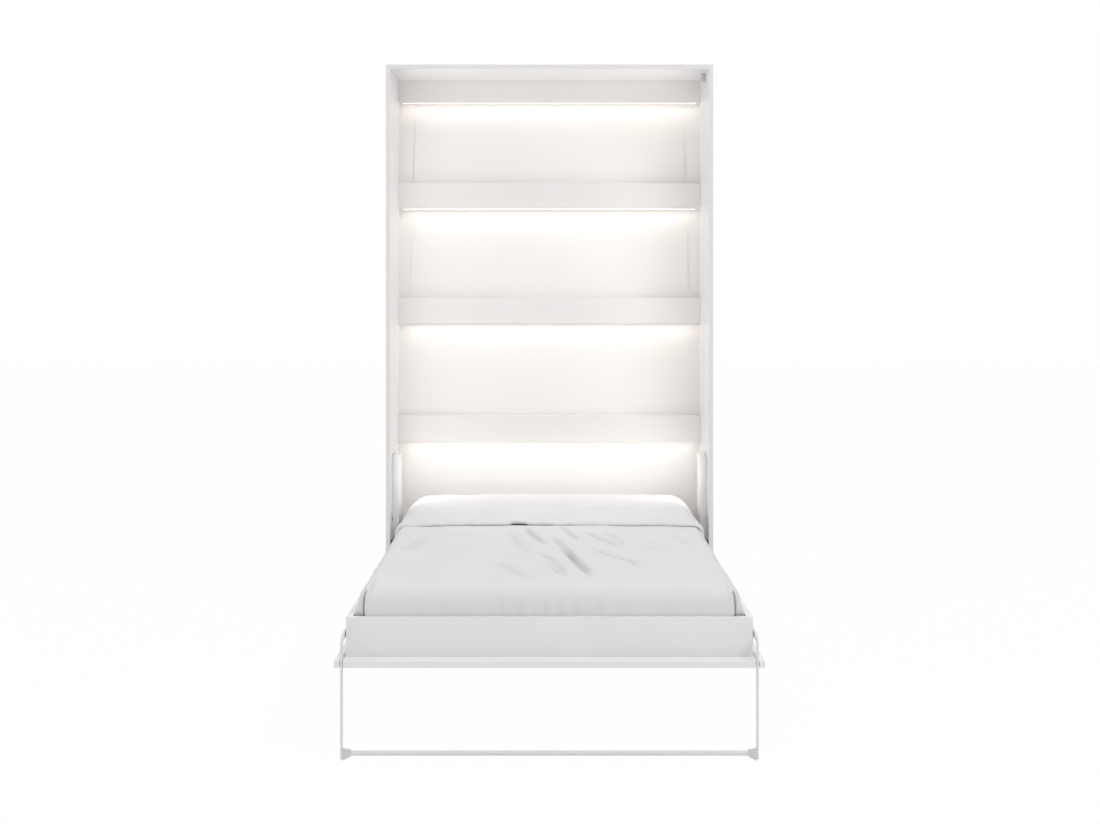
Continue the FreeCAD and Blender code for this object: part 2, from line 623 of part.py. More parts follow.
# Sprung slats in caps on two rails.
rails = [block(span(side, f"({RAIL_INSIDE} - slat_rail_width)", RAIL_INSIDE), (FOOT_INSIDE, HEAD_INSIDE),
               (f"({PANEL_TOP} + slat_rail_rise)", SLAT_RAIL_TOP)) for side in SIDES.values()]
keep(join(rails, "SlatRails"), "slat_rails")
SLAT_END = f"({RAIL_INSIDE} - slat_end_gap)"
SLAT_ARC = f"(({SLAT_END} * {SLAT_END} + slat_crown * slat_crown) / (slat_crown * 2))"
SLAT_ARC_Z = f"({SLAT_SEAT} + slat_crown - {SLAT_ARC})"
slat_total = int(worked_out("slat_count"))
slat_places = [f"({FOOT_INSIDE} + slat_first + ({BED_INSIDE} - slat_first * 2) * {index} / (slat_count - 1))"
               for index in range(slat_total)]
arc_place = ("0", FOOT_INSIDE, SLAT_ARC_Z)
arch = less(rod(f"({SLAT_ARC} + slat_thick)", BED_INSIDE, arc_place, ALONG_Y),
            [rod(SLAT_ARC, BED_INSIDE, arc_place, ALONG_Y)])
strips = doc.addObject("Part::Common", "Slats")
strips.Base = arch
strips.Tool = join([block((f"-{SLAT_END}", SLAT_END), (f"({y} - slat_width / 2)", f"({y} + slat_width / 2)"),
                          (SLAT_RAIL_TOP, f"({SLAT_TOP} + overrun)")) for y in slat_places])
keep(strips, "slats")

caps = []
for side in SIDES.values():
    for y in slat_places:
        outer = block(span(side, f"({RAIL_INSIDE} - cap_length)", RAIL_INSIDE),
                      (f"({y} - slat_width / 2 - cap_wall)", f"({y} + slat_width / 2 + cap_wall)"),
                      (SLAT_RAIL_TOP, f"({SLAT_SEAT} + slat_thick + cap_headroom + cap_wall)"))
        pocket = block(span(side, f"({RAIL_INSIDE} - cap_length - overrun)", f"({SLAT_END} + cap_play)"),
                       (f"({y} - slat_width / 2 - cap_play)", f"({y} + slat_width / 2 + cap_play)"),
                       (SLAT_SEAT, f"({SLAT_SEAT} + slat_thick + cap_headroom)"))
        caps.append(less(outer, [pocket], "SlatCap"))
keep(join(caps, "SlatCaps"), "slat_caps")


def section(y, half, low, high, corner, crown, foot):
    """An outline across the bed: flat below, rounded corners, straight sides and a crowned top."""
    away = corner * (1 - math.sqrt(0.5))
    foot_away = foot * (1 - math.sqrt(0.5))
    low_left, low_right = Vector(foot - half, y, low), Vector(half - foot, y, low)
    side_low, side_high = Vector(half, y, low + foot), Vector(half, y, high - corner)
    top_right, top_left = Vector(half - corner, y, high), Vector(corner - half, y, high)
    far_high, far_low = Vector(-half, y, high - corner), Vector(-half, y, low + foot)
    edges = [
        Part.LineSegment(low_left, low_right),
        Part.Arc(low_right, Vector(half - foot_away, y, low + foot_away), side_low),
        Part.LineSegment(side_low, side_high),
        Part.Arc(side_high, Vector(half - away, y, high - away), top_right),
        Part.Arc(top_right, Vector(0, y, high + crown), top_left),
        Part.Arc(top_left, Vector(away - half, y, high - away), far_high),
        Part.LineSegment(far_high, far_low),
        Part.Arc(far_low, Vector(foot_away - half, y, low + foot_away), low_left),
    ]
    return Part.Wire([edge.toShape() for edge in edges])


def soft_form(stations):
    """A closed solid through outlines along the bed."""
    return Part.makeLoft([section(*station) for station in stations], True, True)


MATTRESS_HEAD = worked_out(f"({HEAD_INSIDE} - mattress_head_gap)")
MATTRESS_FOOT = MATTRESS_HEAD - worked_out("mattress_length")
MATTRESS_LOW = worked_out(f"({SLAT_TOP} + soft_gap)")
MATTRESS_HIGH = MATTRESS_LOW + worked_out("mattress_height")
MATTRESS_HALF = worked_out("mattress_width / 2")
CORNER = worked_out("mattress_corner")
CROWN = worked_out("mattress_crown")
DRAW = worked_out("mattress_draw")
GAP = worked_out("soft_gap")
DUVET_HALF = MATTRESS_HALF + worked_out("duvet_side")
DUVET_LOW = MATTRESS_HIGH - worked_out("duvet_drop")
DUVET_HIGH = MATTRESS_HIGH + worked_out("duvet_thick")
DUVET_CORNER = worked_out("duvet_corner")
DUVET_FOOT = worked_out(f"({FOOT_INSIDE} + soft_gap)")
PILLOW_FOOT = MATTRESS_HEAD - worked_out("pillow_length")
PILLOW_HALF = MATTRESS_HALF - worked_out("pillow_side_gap")
PILLOW_EDGE = worked_out("pillow_edge")
PILLOW_LOW = MATTRESS_HIGH + CROWN + GAP
PILLOW_HIGH = MATTRESS_HIGH + worked_out("pillow_height")
FOLD_HALF = DUVET_HALF + worked_out("fold_side")
FOLD_HIGH = MATTRESS_HIGH + worked_out("fold_top")
FOLD_CORNER = worked_out("fold_corner")
FOLD_LIP = worked_out("fold_lip")
FOLD_START = MATTRESS_HEAD - worked_out("fold_length")
FOLD_CREST = FOLD_START + worked_out("fold_rise")


def mattress_form(grow):
    """The mattress: ends and sides drawn in, top crowned, grown on every side."""
    half, low, high = MATTRESS_HALF + grow, MATTRESS_LOW - grow, MATTRESS_HIGH + grow
    foot, head = MATTRESS_FOOT - grow, MATTRESS_HEAD + grow
    return soft_form([
        (foot, half - DRAW * 2, low + DRAW, high - DRAW * 2, CORNER, CROWN, CORNER),
        (foot + DRAW * 2, half - DRAW / 2, low, high, CORNER, CROWN, CORNER),
        (foot + CORNER * 4, half, low, high, CORNER, CROWN, CORNER),
        (head - CORNER * 4, half, low, high, CORNER, CROWN, CORNER),
        (head - DRAW * 2, half - DRAW / 2, low, high, CORNER, CROWN, CORNER),
        (head, half - DRAW * 2, low + DRAW, high - DRAW * 2, CORNER, CROWN, CORNER),
    ])


def duvet_form(grow):
    """The outside of the duvet, from the foot board to where its turned-back end rises."""
    half, high = DUVET_HALF + grow, DUVET_HIGH + grow
    foot, head = DUVET_FOOT, FOLD_CREST - DRAW + grow
    return soft_form([
        (foot, half - DRAW * 2, DUVET_LOW, high - DRAW, DUVET_CORNER, CROWN, DRAW),
        (foot + CORNER, half - DRAW, DUVET_LOW, high, DUVET_CORNER, CROWN, DRAW),
        (foot + CORNER * 6, half, DUVET_LOW, high, DUVET_CORNER, CROWN, DRAW),
        (head - CORNER, half, DUVET_LOW, high, DUVET_CORNER, CROWN, DRAW),
        (head, half - DRAW, DUVET_LOW, high - DRAW, DUVET_CORNER, CROWN, DRAW),
    ])


def pillow_form(grow):
    """The pillow: thick in the middle and drawn in to its edges."""
    half, low, high = PILLOW_HALF + grow, PILLOW_LOW, PILLOW_HIGH + grow
    foot, head = PILLOW_FOOT - grow, MATTRESS_HEAD - DRAW + grow
    edge, hem = PILLOW_EDGE / 2, PILLOW_EDGE / 4
    return soft_form([
        (foot, half - CORNER, low + edge, low + edge * 3, edge, CROWN, hem),
        (foot + CORNER * 2, half - edge, low, high - edge, edge, CROWN, hem),
        ((foot + head) / 2, half, low, high, edge, CROWN, hem),
        (head - CORNER * 2, half - edge, low, high - edge, edge, CROWN, hem),
        (head, half - CORNER, low + edge, low + edge * 3, edge, CROWN, hem),
    ])


def fold_form():
    """The duvet's turned-back end, which lies on the duvet and rises over the pillow: a shell open below."""
    low, lip_high, head = MATTRESS_HIGH - worked_out("fold_drop"), DUVET_HIGH + FOLD_LIP, MATTRESS_HEAD
    head_high, hem = FOLD_HIGH - CORNER + DRAW, DRAW / 4
    outside = soft_form([
        (FOLD_START, FOLD_HALF, low, lip_high - DRAW / 4, DUVET_CORNER, CROWN, hem),
        (FOLD_CREST, FOLD_HALF, low, FOLD_HIGH, FOLD_CORNER, CROWN, hem),
        (head - CORNER * 3, FOLD_HALF, low, FOLD_HIGH, FOLD_CORNER, CROWN, hem),
        (head, FOLD_HALF, low, head_high, FOLD_CORNER, CROWN, hem),
    ])
    half, thick, depth = DUVET_HALF + GAP, FOLD_LIP - GAP, low - CORNER * 2
    narrow = MATTRESS_HALF + GAP
    inside = soft_form([
        (FOLD_START - DRAW, half, depth, DUVET_HIGH + GAP, DUVET_CORNER, CROWN, hem),
        (FOLD_CREST - DRAW + GAP, half, depth, DUVET_HIGH + thick, DUVET_CORNER, CROWN, hem),
        (PILLOW_FOOT - GAP, narrow, depth, FOLD_HIGH - thick, DUVET_CORNER, CROWN, hem),
        (head - CORNER * 3, narrow, depth, FOLD_HIGH - thick, DUVET_CORNER, CROWN, hem),
        (head + DRAW, narrow, depth, head_high - thick, DUVET_CORNER, CROWN, hem),
    ])
    return outside.cut(inside)


def soft_node(shape, label):
    """A soft piece as an object of its own."""
    piece = doc.addObject("Part::Feature", label.title().replace("_", ""))
    piece.Shape = shape
    piece.Placement = Placement()
    keep(piece, label)


soft_node(mattress_form(0), "mattress")
soft_node(duvet_form(0).cut(mattress_form(GAP)), "duvet")
soft_node(pillow_form(0), "pillow")
soft_node(fold_form(), "duvet_fold")

doc.recompute()
failed = [item.Name for item in doc.Objects if "Invalid" in item.State or "Error" in item.State]
failed += [node.Label for node in nodes if node.Shape.isNull() or not node.Shape.isValid()]
if failed:
    raise SystemExit("These did not build: " + ", ".join(failed))

os.makedirs("parts", exist_ok=True)
for node in nodes:
    node.Shape.exportStep(f"parts/{node.Label}.step")
    print(f"{node.Label}: {len(node.Shape.Solids)} solids, {node.Shape.Volume / 1000:.1f} cm3")
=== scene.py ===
import math

import bpy
import numpy as np
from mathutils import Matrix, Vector


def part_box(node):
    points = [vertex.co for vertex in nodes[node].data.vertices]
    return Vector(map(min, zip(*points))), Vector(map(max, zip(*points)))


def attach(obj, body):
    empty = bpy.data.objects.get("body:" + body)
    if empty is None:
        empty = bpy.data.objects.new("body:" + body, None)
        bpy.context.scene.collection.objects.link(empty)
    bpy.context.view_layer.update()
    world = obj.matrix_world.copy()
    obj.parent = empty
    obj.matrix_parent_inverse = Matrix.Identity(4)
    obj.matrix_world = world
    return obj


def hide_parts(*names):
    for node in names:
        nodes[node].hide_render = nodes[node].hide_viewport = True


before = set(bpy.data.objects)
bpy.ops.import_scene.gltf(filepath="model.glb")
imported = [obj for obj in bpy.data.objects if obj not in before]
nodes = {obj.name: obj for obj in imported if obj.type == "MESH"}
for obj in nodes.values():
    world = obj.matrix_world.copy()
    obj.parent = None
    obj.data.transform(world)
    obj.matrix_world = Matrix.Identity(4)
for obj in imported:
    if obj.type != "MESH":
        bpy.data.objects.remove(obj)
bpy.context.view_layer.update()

# Wall bed, lowered. Lengths are in metres, and MM turns millimetres into them.
MM = 0.001

# The cabinet's front plane, which the bed's own distances are measured from.
FRONT_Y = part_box("side_panel_left")[0].y


# ---- materials ----

def linear(hex_colour):
    """A colour written as sRGB hex, as linear RGBA."""
    values = [int(hex_colour[i:i + 2], 16) / 255 for i in (1, 3, 5)]
    curve = [v / 12.92 if v <= 0.04045 else ((v + 0.055) / 1.055) ** 2.4 for v in values]
    return (*curve, 1.0)


def node(tree, kind, links=(), **settings):
    """Add a node, set its properties and input values, and link its inputs to other nodes' outputs."""
    made = tree.nodes.new(kind)
    inputs = settings.pop("inputs", {})
    for key, value in settings.items():
        setattr(made, key, value)
    for key, value in inputs.items():
        made.inputs[key].default_value = value
    for key, source in links:
        tree.links.new(source, made.inputs[key])
    return made


def surface(name, base, rough, **more):
    """A material with its Principled shader and the Object coordinates that its pattern reads."""
    material = bpy.data.materials.new(name)
    material.use_nodes = True
    tree = material.node_tree
    shader = tree.nodes["Principled BSDF"]
    shader.inputs["Base Color"].default_value = linear(base)
    shader.inputs["Roughness"].default_value = rough
    for key, value in more.items():
        shader.inputs[key.replace("_", " ")].default_value = value
    place = node(tree, "ShaderNodeTexCoord").outputs["Object"]
    return material, tree, shader, place


def noise(tree, place, size_mm, detail=2.0, stretch=(1, 1, 1), rough=0.5):
    """Noise whose features are about size_mm across, stretched along the axes."""
    scaled = node(tree, "ShaderNodeMapping", [("Vector", place)],
                  inputs={"Scale": tuple(1 / (size_mm * MM * s) for s in stretch)})
    return node(tree, "ShaderNodeTexNoise", [("Vector", scaled.outputs["Vector"])],
                inputs={"Scale": 1.0, "Detail": detail, "Roughness": rough}).outputs["Fac"]


def ranged(tree, value, low, high, start=0.3, end=0.7):
    """A value moved from one range to another."""
    limits = {"From Min": start, "From Max": end, "To Min": low, "To Max": high}
    return node(tree, "ShaderNodeMapRange", [("Value", value)], inputs=limits).outputs["Result"]


def tinted(tree, shader, value, first, second, start=0.3, end=0.7):
    """Mix two colours by a value into the shader's base colour."""
    ramp = node(tree, "ShaderNodeValToRGB", [("Fac", ranged(tree, value, 0, 1, start, end))])
    ramp.color_ramp.elements[0].color = linear(first)
    ramp.color_ramp.elements[1].color = linear(second)
    tree.links.new(ramp.outputs["Color"], shader.inputs["Base Color"])


def bumped(tree, shader, height, depth_mm, strength=1.0):
    """Bump from a height, its full depth given in millimetres."""
    bump = node(tree, "ShaderNodeBump", [("Height", height)],
                inputs={"Strength": strength, "Distance": depth_mm * MM})
    tree.links.new(bump.outputs["Normal"], shader.inputs["Normal"])


def roughened(tree, shader, value, low, high):
    """Move a value to a range of roughness, for the shader."""
    tree.links.new(ranged(tree, value, low, high), shader.inputs["Roughness"])


# Radiance of the lit diffusers, and the colour of their light.
LIGHT_STRENGTH = 5.0
STRIP_COLOUR = "#FFF9F3"

# How far behind the cabinet's front the hinge plate's steel stays black, and over how far it turns pale.
BLACK_EDGE = 45 * MM
BLACK_EDGE_FADE = 1 * MM

# How much longer than wide the grain of wood is.
GRAIN_STRETCH = 30.0

# About how many times a wave texture of scale 1 repeats in a metre.
WAVES_PER_METRE = 3.1416


def white_melamine():
    """Melamine-faced particle board, pressed: a hard satin white with a faint pearl texture of 1.5 mm."""
    material, tree, shader, place = surface("white_melamine", "#F1F0F0", rough=0.34, IOR=1.5)
    tinted(tree, shader, noise(tree, place, size_mm=220), "#EFEEEE", "#F2F1F1")
    roughened(tree, shader, noise(tree, place, size_mm=40, detail=3), low=0.29, high=0.4)
    bumped(tree, shader, noise(tree, place, size_mm=1.5, detail=3), depth_mm=0.02)
    return material


def gloss_laminate(name, base, other):
    """High-gloss laminate: clear, nearly mirror-smooth, with the faint waviness of pressed board."""
    material, tree, shader, place = surface(name, base, rough=0.06, IOR=1.58)
    tinted(tree, shader, noise(tree, place, size_mm=400), base, other)
    roughened(tree, shader, noise(tree, place, size_mm=90, detail=2), low=0.015, high=0.04)
    bumped(tree, shader, noise(tree, place, size_mm=60, detail=1), depth_mm=0.02)
    return material


def powder_coat(name, base, other, rough):
    """Powder-coated steel, baked: satin, with orange-peel texture of 1.2 mm."""
    material, tree, shader, place = surface(name, base, rough, IOR=1.5)
    tinted(tree, shader, noise(tree, place, size_mm=30, detail=3), base, other)
    bumped(tree, shader, noise(tree, place, size_mm=1.2, detail=2), depth_mm=0.05)
    return material


def hinge_steel():
    """The hinge plate's steel: black at its front edge, which shows as a slit, and pale behind it."""
    material, tree, shader, place = surface("black_edged_steel", "#1B1B1C", rough=0.42, IOR=1.5)
    depth = node(tree, "ShaderNodeSeparateXYZ", [("Vector", place)]).outputs["Y"]
    edge = FRONT_Y + BLACK_EDGE
    tinted(tree, shader, depth, "#1B1B1C", "#E9E8E7", start=edge, end=edge + BLACK_EDGE_FADE)
    bumped(tree, shader, noise(tree, place, size_mm=1.2, detail=2), depth_mm=0.05)
    return material


def zinc_plate():
    """Zinc-plated steel: bright grey metal, its plating slightly cloudy."""
    material, tree, shader, place = surface("zinc_plated_steel", "#B9BCC0", rough=0.3, Metallic=1.0)
    tinted(tree, shader, noise(tree, place, size_mm=6, detail=3), "#AEB2B8", "#C4C6C8")
    roughened(tree, shader, noise(tree, place, size_mm=3, detail=3), low=0.24, high=0.4)
    return material


def polished_chrome():
    """Hard-chromed piston rod, ground along its length: mirror bright with hair-fine rings."""
    material, tree, shader, place = surface("chromed_rod", "#D5D7DA", rough=0.08, Metallic=1.0)
    rings = noise(tree, place, size_mm=1.5, detail=2, stretch=(1, 1, 0.3))
    roughened(tree, shader, rings, low=0.06, high=0.14)
    return material


def lacquered_aluminium():
    """White-lacquered aluminium extrusion, with draw lines along its length."""
    material, tree, shader, place = surface("lacquered_aluminium", "#EEEDEB", rough=0.36, IOR=1.5)
    lines = noise(tree, place, size_mm=1.0, detail=2, stretch=(400, 1, 1))
    roughened(tree, shader, lines, low=0.3, high=0.44)
    bumped(tree, shader, lines, depth_mm=0.02)
    return material


def opal_acrylic():
    """Opal acrylic cover of a light strip, lit warm white from within."""
    material, tree, shader, place = surface("opal_acrylic", "#F8F4EC", rough=0.4, IOR=1.49)
    shader.inputs["Emission Color"].default_value = linear(STRIP_COLOUR)
    shader.inputs["Emission Strength"].default_value = LIGHT_STRENGTH
    bumped(tree, shader, noise(tree, place, size_mm=0.8, detail=1), depth_mm=0.01)
    return material


def moulded(name, base, other):
    """Injection-moulded plastic with a fine spark-eroded texture of 0.8 mm."""
    material, tree, shader, place = surface(name, base, rough=0.5, IOR=1.5)
    tinted(tree, shader, noise(tree, place, size_mm=14, detail=2), base, other)
    bumped(tree, shader, noise(tree, place, size_mm=0.8, detail=2), depth_mm=0.04)
    return material


def beech(name, along):
    """Lacquered beech: fine grain of 1 mm and growth bands of 14 mm, both drawn out along one axis."""
    material, tree, shader, place = surface(name, "#D8B88E", rough=0.42, IOR=1.5)
    stretch = [1.0, 1.0, 1.0]
    stretch[along] = GRAIN_STRETCH
    grain = noise(tree, place, size_mm=1.0, detail=4, stretch=stretch, rough=0.65)
    bands = noise(tree, place, size_mm=14, detail=3, stretch=stretch, rough=0.5)
    mixed = node(tree, "ShaderNodeMath", [(0, grain), (1, bands)], operation="ADD").outputs["Value"]
    tinted(tree, shader, mixed, "#C39A68", "#E2C69E", start=0.7, end=1.3)
    bumped(tree, shader, grain, depth_mm=0.06)
    return material


def woven(name, base, other, thread_mm, depth_mm, rough=0.86):
    """Woven cotton: two crossing waves as warp and weft, with a soft mottle and a faint sheen.

    Painted shade: the creased pieces carry a per-point attribute that darkens the cloth in deep folds and
    slits, where shade falls.
    """
    material, tree, shader, place = surface(name, base, rough, IOR=1.35, Sheen_Weight=0.05,
                                            Sheen_Roughness=0.5)
    tinted(tree, shader, noise(tree, place, size_mm=160, detail=2), base, other)
    # Painted shade: the fold attribute multiplies the base colour towards a dark grey.
    depth = node(tree, "ShaderNodeAttribute", attribute_name="painted_fold_shade").outputs["Fac"]
    colour = shader.inputs["Base Color"].links[0].from_socket
    # A mix node has inputs 0, 6 and 7 and output 2 for its factor, its two colours and their mix.
    painted_shade_mix = node(tree, "ShaderNodeMix", [(0, depth), (6, colour)], data_type="RGBA", blend_type="MULTIPLY",
                inputs={7: linear("#5A5655")})
    tree.links.new(painted_shade_mix.outputs[2], shader.inputs["Base Color"])
    wave = {"Scale": 1 / (thread_mm * MM) / WAVES_PER_METRE, "Distortion": 0.6, "Detail": 1.0}
    threads = [node(tree, "ShaderNodeTexWave", [("Vector", place)], wave_type="BANDS",
                    bands_direction=axis, inputs=wave).outputs["Fac"] for axis in "XY"]
    weave = node(tree, "ShaderNodeMath", [(0, threads[0]), (1, threads[1])], operation="MULTIPLY")
    bumped(tree, shader, weave.outputs["Value"], depth_mm, strength=0.35)
    return material


MELAMINE = white_melamine()
GLOSS = gloss_laminate("gloss_laminate", "#F3F0ED", "#F5F2EF")
# Painted shade: a darker copy of the back's gloss laminate for the crossbars, standing in for the shade on
# their fronts.
BAR_GLOSS_PAINTED_SHADE = gloss_laminate("gloss_laminate_bars_painted_shade", "#EAE7E6", "#ECE9E8")
WHITE_STEEL = powder_coat("white_powder_coat", "#E7E6E7", "#EAE9EA", rough=0.38)
# Painted light: a paler copy of the white powder coat for the mechanism covers and their lips, standing in for
# light falling on them.
COVER_STEEL_PAINTED_LIGHT = powder_coat("white_powder_coat_cover_painted_light", "#F2F1F0", "#F4F3F2", rough=0.38)
BLACK_STEEL = powder_coat("black_powder_coat", "#1B1B1C", "#242425", rough=0.45)
HINGE_STEEL = hinge_steel()
ZINC = zinc_plate()
CHROME = polished_chrome()
ALUMINIUM = lacquered_aluminium()
OPAL = opal_acrylic()
GREY_PLASTIC = moulded("grey_plastic", "#D2D0D3", "#D6D4D6")
PALE_PLASTIC = moulded("pale_grey_plastic", "#D6D6D6", "#DCDCDC")
BLACK_PLASTIC = moulded("black_plastic", "#222223", "#2A2A2B")
SLAT_BEECH = beech("beech_slats", along=0)
RAIL_BEECH = beech("beech_rails", along=1)
COTTON = woven("cotton_percale", "#E4E3E4", "#E7E6E7", thread_mm=1.6, depth_mm=0.05)
KNIT = woven("mattress_knit", "#E6E4DF", "#EAE8E4", thread_mm=2.4, depth_mm=0.25)

FINISHES = {
    "side_panel": MELAMINE, "top_panel": MELAMINE, "crossbar_ledges": MELAMINE, "crossbar": BAR_GLOSS_PAINTED_SHADE,
    "back_panel": GLOSS, "front_panel": MELAMINE, "foot_board": MELAMINE, "head_board": MELAMINE,
    "side_rail": MELAMINE, "mechanism_cover": COVER_STEEL_PAINTED_LIGHT, "leg_arm": WHITE_STEEL,
    "leg_crossbar": WHITE_STEEL, "leg_feet": PALE_PLASTIC, "hinge_plate": HINGE_STEEL,
    "pivot_bracket": BLACK_STEEL, "gas_cylinder": BLACK_STEEL, "gas_rod": CHROME, "leg_pivot_bolts": ZINC,
    "pivot_pin": ZINC, "spring_stud": ZINC, "spring_link_stud": ZINC, "wall_angles": ZINC,
    "led_channel": ALUMINIUM, "led_diffuser": OPAL, "led_sensor": GREY_PLASTIC, "led_driver": GREY_PLASTIC,
    "slat_caps": BLACK_PLASTIC, "cabinet_glides": BLACK_PLASTIC, "pivot_bushing": BLACK_PLASTIC,
    "slats": SLAT_BEECH, "slat_rails": RAIL_BEECH, "mattress": KNIT, "duvet": COTTON, "pillow": COTTON,
}

# How far the edges of boards and covers are eased, in millimetres. Points this near to each other are welded
# first, and an edge that turns by less than this angle is left as it is.
EASED = {"side_panel": 0.5, "top_panel": 0.5, "crossbar": 0.5, "back_panel": 0.5, "front_panel": 0.6,
         "foot_board": 0.6, "head_board": 0.6, "side_rail": 0.6, "mechanism_cover": 1.0}
WELD_REACH = 0.01 * MM
LEAST_EDGE_TURN = math.radians(40)


def longest_match(table, name):
    """The longest key of a table that a name starts with."""
    return max((key for key in table if name.startswith(key)), key=len, default=None)


for name, piece in nodes.items():
    piece.data.materials.clear()
    piece.data.materials.append(FINISHES[longest_match(FINISHES, name)])
    match = longest_match(EASED, name)
    if match:
        weld = piece.modifiers.new("weld", "WELD")
        weld.merge_threshold = WELD_REACH
        ease = piece.modifiers.new("eased_edges", "BEVEL")
        ease.width = EASED[match] * MM
        ease.segments = 2
        ease.limit_method = "ANGLE"
        ease.angle_limit = LEAST_EDGE_TURN


# ---- meshes ----

def mesh_piece(name, points, faces, material, smooth=True):
    """An object from an array of points and an array of faces of four corners each."""
    mesh = bpy.data.meshes.new(name)
    mesh.vertices.add(len(points))
    mesh.vertices.foreach_set("co", np.asarray(points, dtype=np.float32).ravel())
    mesh.loops.add(faces.size)
    mesh.loops.foreach_set("vertex_index", faces.astype(np.int32).ravel())
    mesh.polygons.add(len(faces))
    mesh.polygons.foreach_set("loop_start", np.arange(0, faces.size, faces.shape[1], dtype=np.int32))
    mesh.update(calc_edges=True)
    mesh.validate()
    mesh.polygons.foreach_set("use_smooth", np.full(len(faces), smooth))
    piece = bpy.data.objects.new(name, mesh)
    bpy.context.scene.collection.objects.link(piece)
    mesh.materials.append(material)
    return piece


def quads(rows, columns, start=0, flip=False):
    """The faces between neighbouring points of a grid that is stored row by row."""
    index = start + np.arange(rows * columns).reshape(rows, columns)
    corners = (index[:-1, :-1], index[:-1, 1:], index[1:, 1:], index[1:, :-1])
    return np.stack(corners[::-1] if flip else corners, axis=-1).reshape(-1, 4)


def shell_piece(name, outer, inner, material, bulge=1.0, steps=5):
    """A closed form between two grids of the same size, joined all round by a rounded edge.

    The edge runs from the outer rim to the inner one in even steps, moved away from the form by bulge times
    half the distance between them times the sine of half a turn.
    """
    rows, columns = outer.shape[:2]
    count = rows * columns

    def rim(grid, depth=0):
        """The outermost points in order round the grid, or those that lie beside them at a depth."""
        row, column = rows - 1 - depth, columns - 1 - depth
        return np.concatenate([grid[depth, :-1], grid[:-1, column], grid[row, :0:-1], grid[:0:-1, depth]])

    loop = rim(np.arange(count).reshape(rows, columns))
    out_rim, in_rim = rim(outer), rim(inner)
    away = out_rim - rim(outer, 1)
    away /= np.linalg.norm(away, axis=1, keepdims=True) + 1e-9
    half = np.linalg.norm(out_rim - in_rim, axis=1, keepdims=True) / 2
    shares = np.arange(1, steps) / steps
    rings = [out_rim + (in_rim - out_rim) * t + away * half * bulge * math.sin(math.pi * t) for t in shares]
    indices = [loop] + [2 * count + np.arange(len(loop)) + k * len(loop) for k in range(steps - 1)]
    indices.append(loop + count)
    walls = [np.stack([np.roll(a, -1), a, b, np.roll(b, -1)], axis=-1) for a, b in zip(indices, indices[1:])]
    points = np.concatenate([outer.reshape(-1, 3), inner.reshape(-1, 3)] + rings)
    faces = np.concatenate([quads(rows, columns), quads(rows, columns, count, flip=True)] + walls)
    return mesh_piece(name, points, faces, material)


def write_painted_shade(piece, amount):
    """Write painted shade for each point of a shell's outer grid: how far the cloth is darkened where a fold's
    shade falls.
    """
    values = np.zeros(len(piece.data.vertices), dtype=np.float32)
    values[:amount.size] = amount.ravel()
    layer = piece.data.attributes.new("painted_fold_shade", "FLOAT", "POINT")
    layer.data.foreach_set("value", values)


def smooth_step(value):
    """0 below 0, 1 above 1, and a smooth rise between."""
    t = np.clip(value, 0, 1)
    return t * t * (3 - 2 * t)


def ripples(x, y, seed, size_mm, count=10, lean=(0.0, math.pi)):
    """A sum of sine waves of about one wavelength, from about -1 to 1.

    Their directions, between the two angles of lean, and their phases and lengths are drawn from a seed.
    """
    draw = np.random.default_rng(seed)
    total = np.zeros_like(x)
    for turn, phase, stretch in zip(draw.uniform(*lean, count), draw.uniform(0, 2 * math.pi, count),
                                    draw.uniform(0.7, 1.4, count)):
        step = 2 * math.pi / (size_mm * MM * stretch)
        total += np.sin((x * math.cos(turn) + y * math.sin(turn)) * step + phase)
    return total / math.sqrt(count * 2)


def crease(x, y, path, width_mm, depth_mm, lift=0.7):
    """A crease in cloth along a path of points in millimetres: a valley with a ridge at its left.

    The valley is a bell curve of the distance to the path, and the ridge a wider one beside it, lift times as
    high as the valley is deep. Both fade over the first quarter of the path and its last third.
    """
    path = np.asarray(path, dtype=float) * MM
    width = width_mm * MM
    best = np.full(x.shape, 1e9)
    side = np.zeros_like(x)
    along = np.zeros_like(x)
    lengths = np.linalg.norm(np.diff(path, axis=0), axis=1)
    before = np.concatenate([[0], np.cumsum(lengths)])
    for start, end, length, run in zip(path[:-1], path[1:], lengths, before):
        ux, uy = (end - start) / length
        t = np.clip((x - start[0]) * ux + (y - start[1]) * uy, 0, length)
        dx, dy = x - start[0] - t * ux, y - start[1] - t * uy
        distance = np.hypot(dx, dy)
        nearer = distance < best
        best = np.where(nearer, distance, best)
        side = np.where(nearer, ux * dy - uy * dx, side)
        along = np.where(nearer, (run + t) / before[-1], along)
    fade = smooth_step(along / 0.25) * smooth_step((1 - along) / 0.35)
    signed = np.sign(side) * best
    valley = np.exp(-(best / width) ** 2)
    ridge = np.exp(-((signed - 1.6 * width) / (1.5 * width)) ** 2)
    return depth_mm * MM * fade * (lift * ridge - valley)


def coordinates(mesh):
    """A mesh's points as an array."""
    points = np.empty(len(mesh.vertices) * 3, dtype=np.float32)
    mesh.vertices.foreach_get("co", points)
    return points.reshape(-1, 3)


# How many frames the cloth swells for, how finely each is worked out, and how far it stays inside its box.
CLOTH_FRAMES = 20
CLOTH_QUALITY = 5
BOX_MARGIN = 0.5 * MM


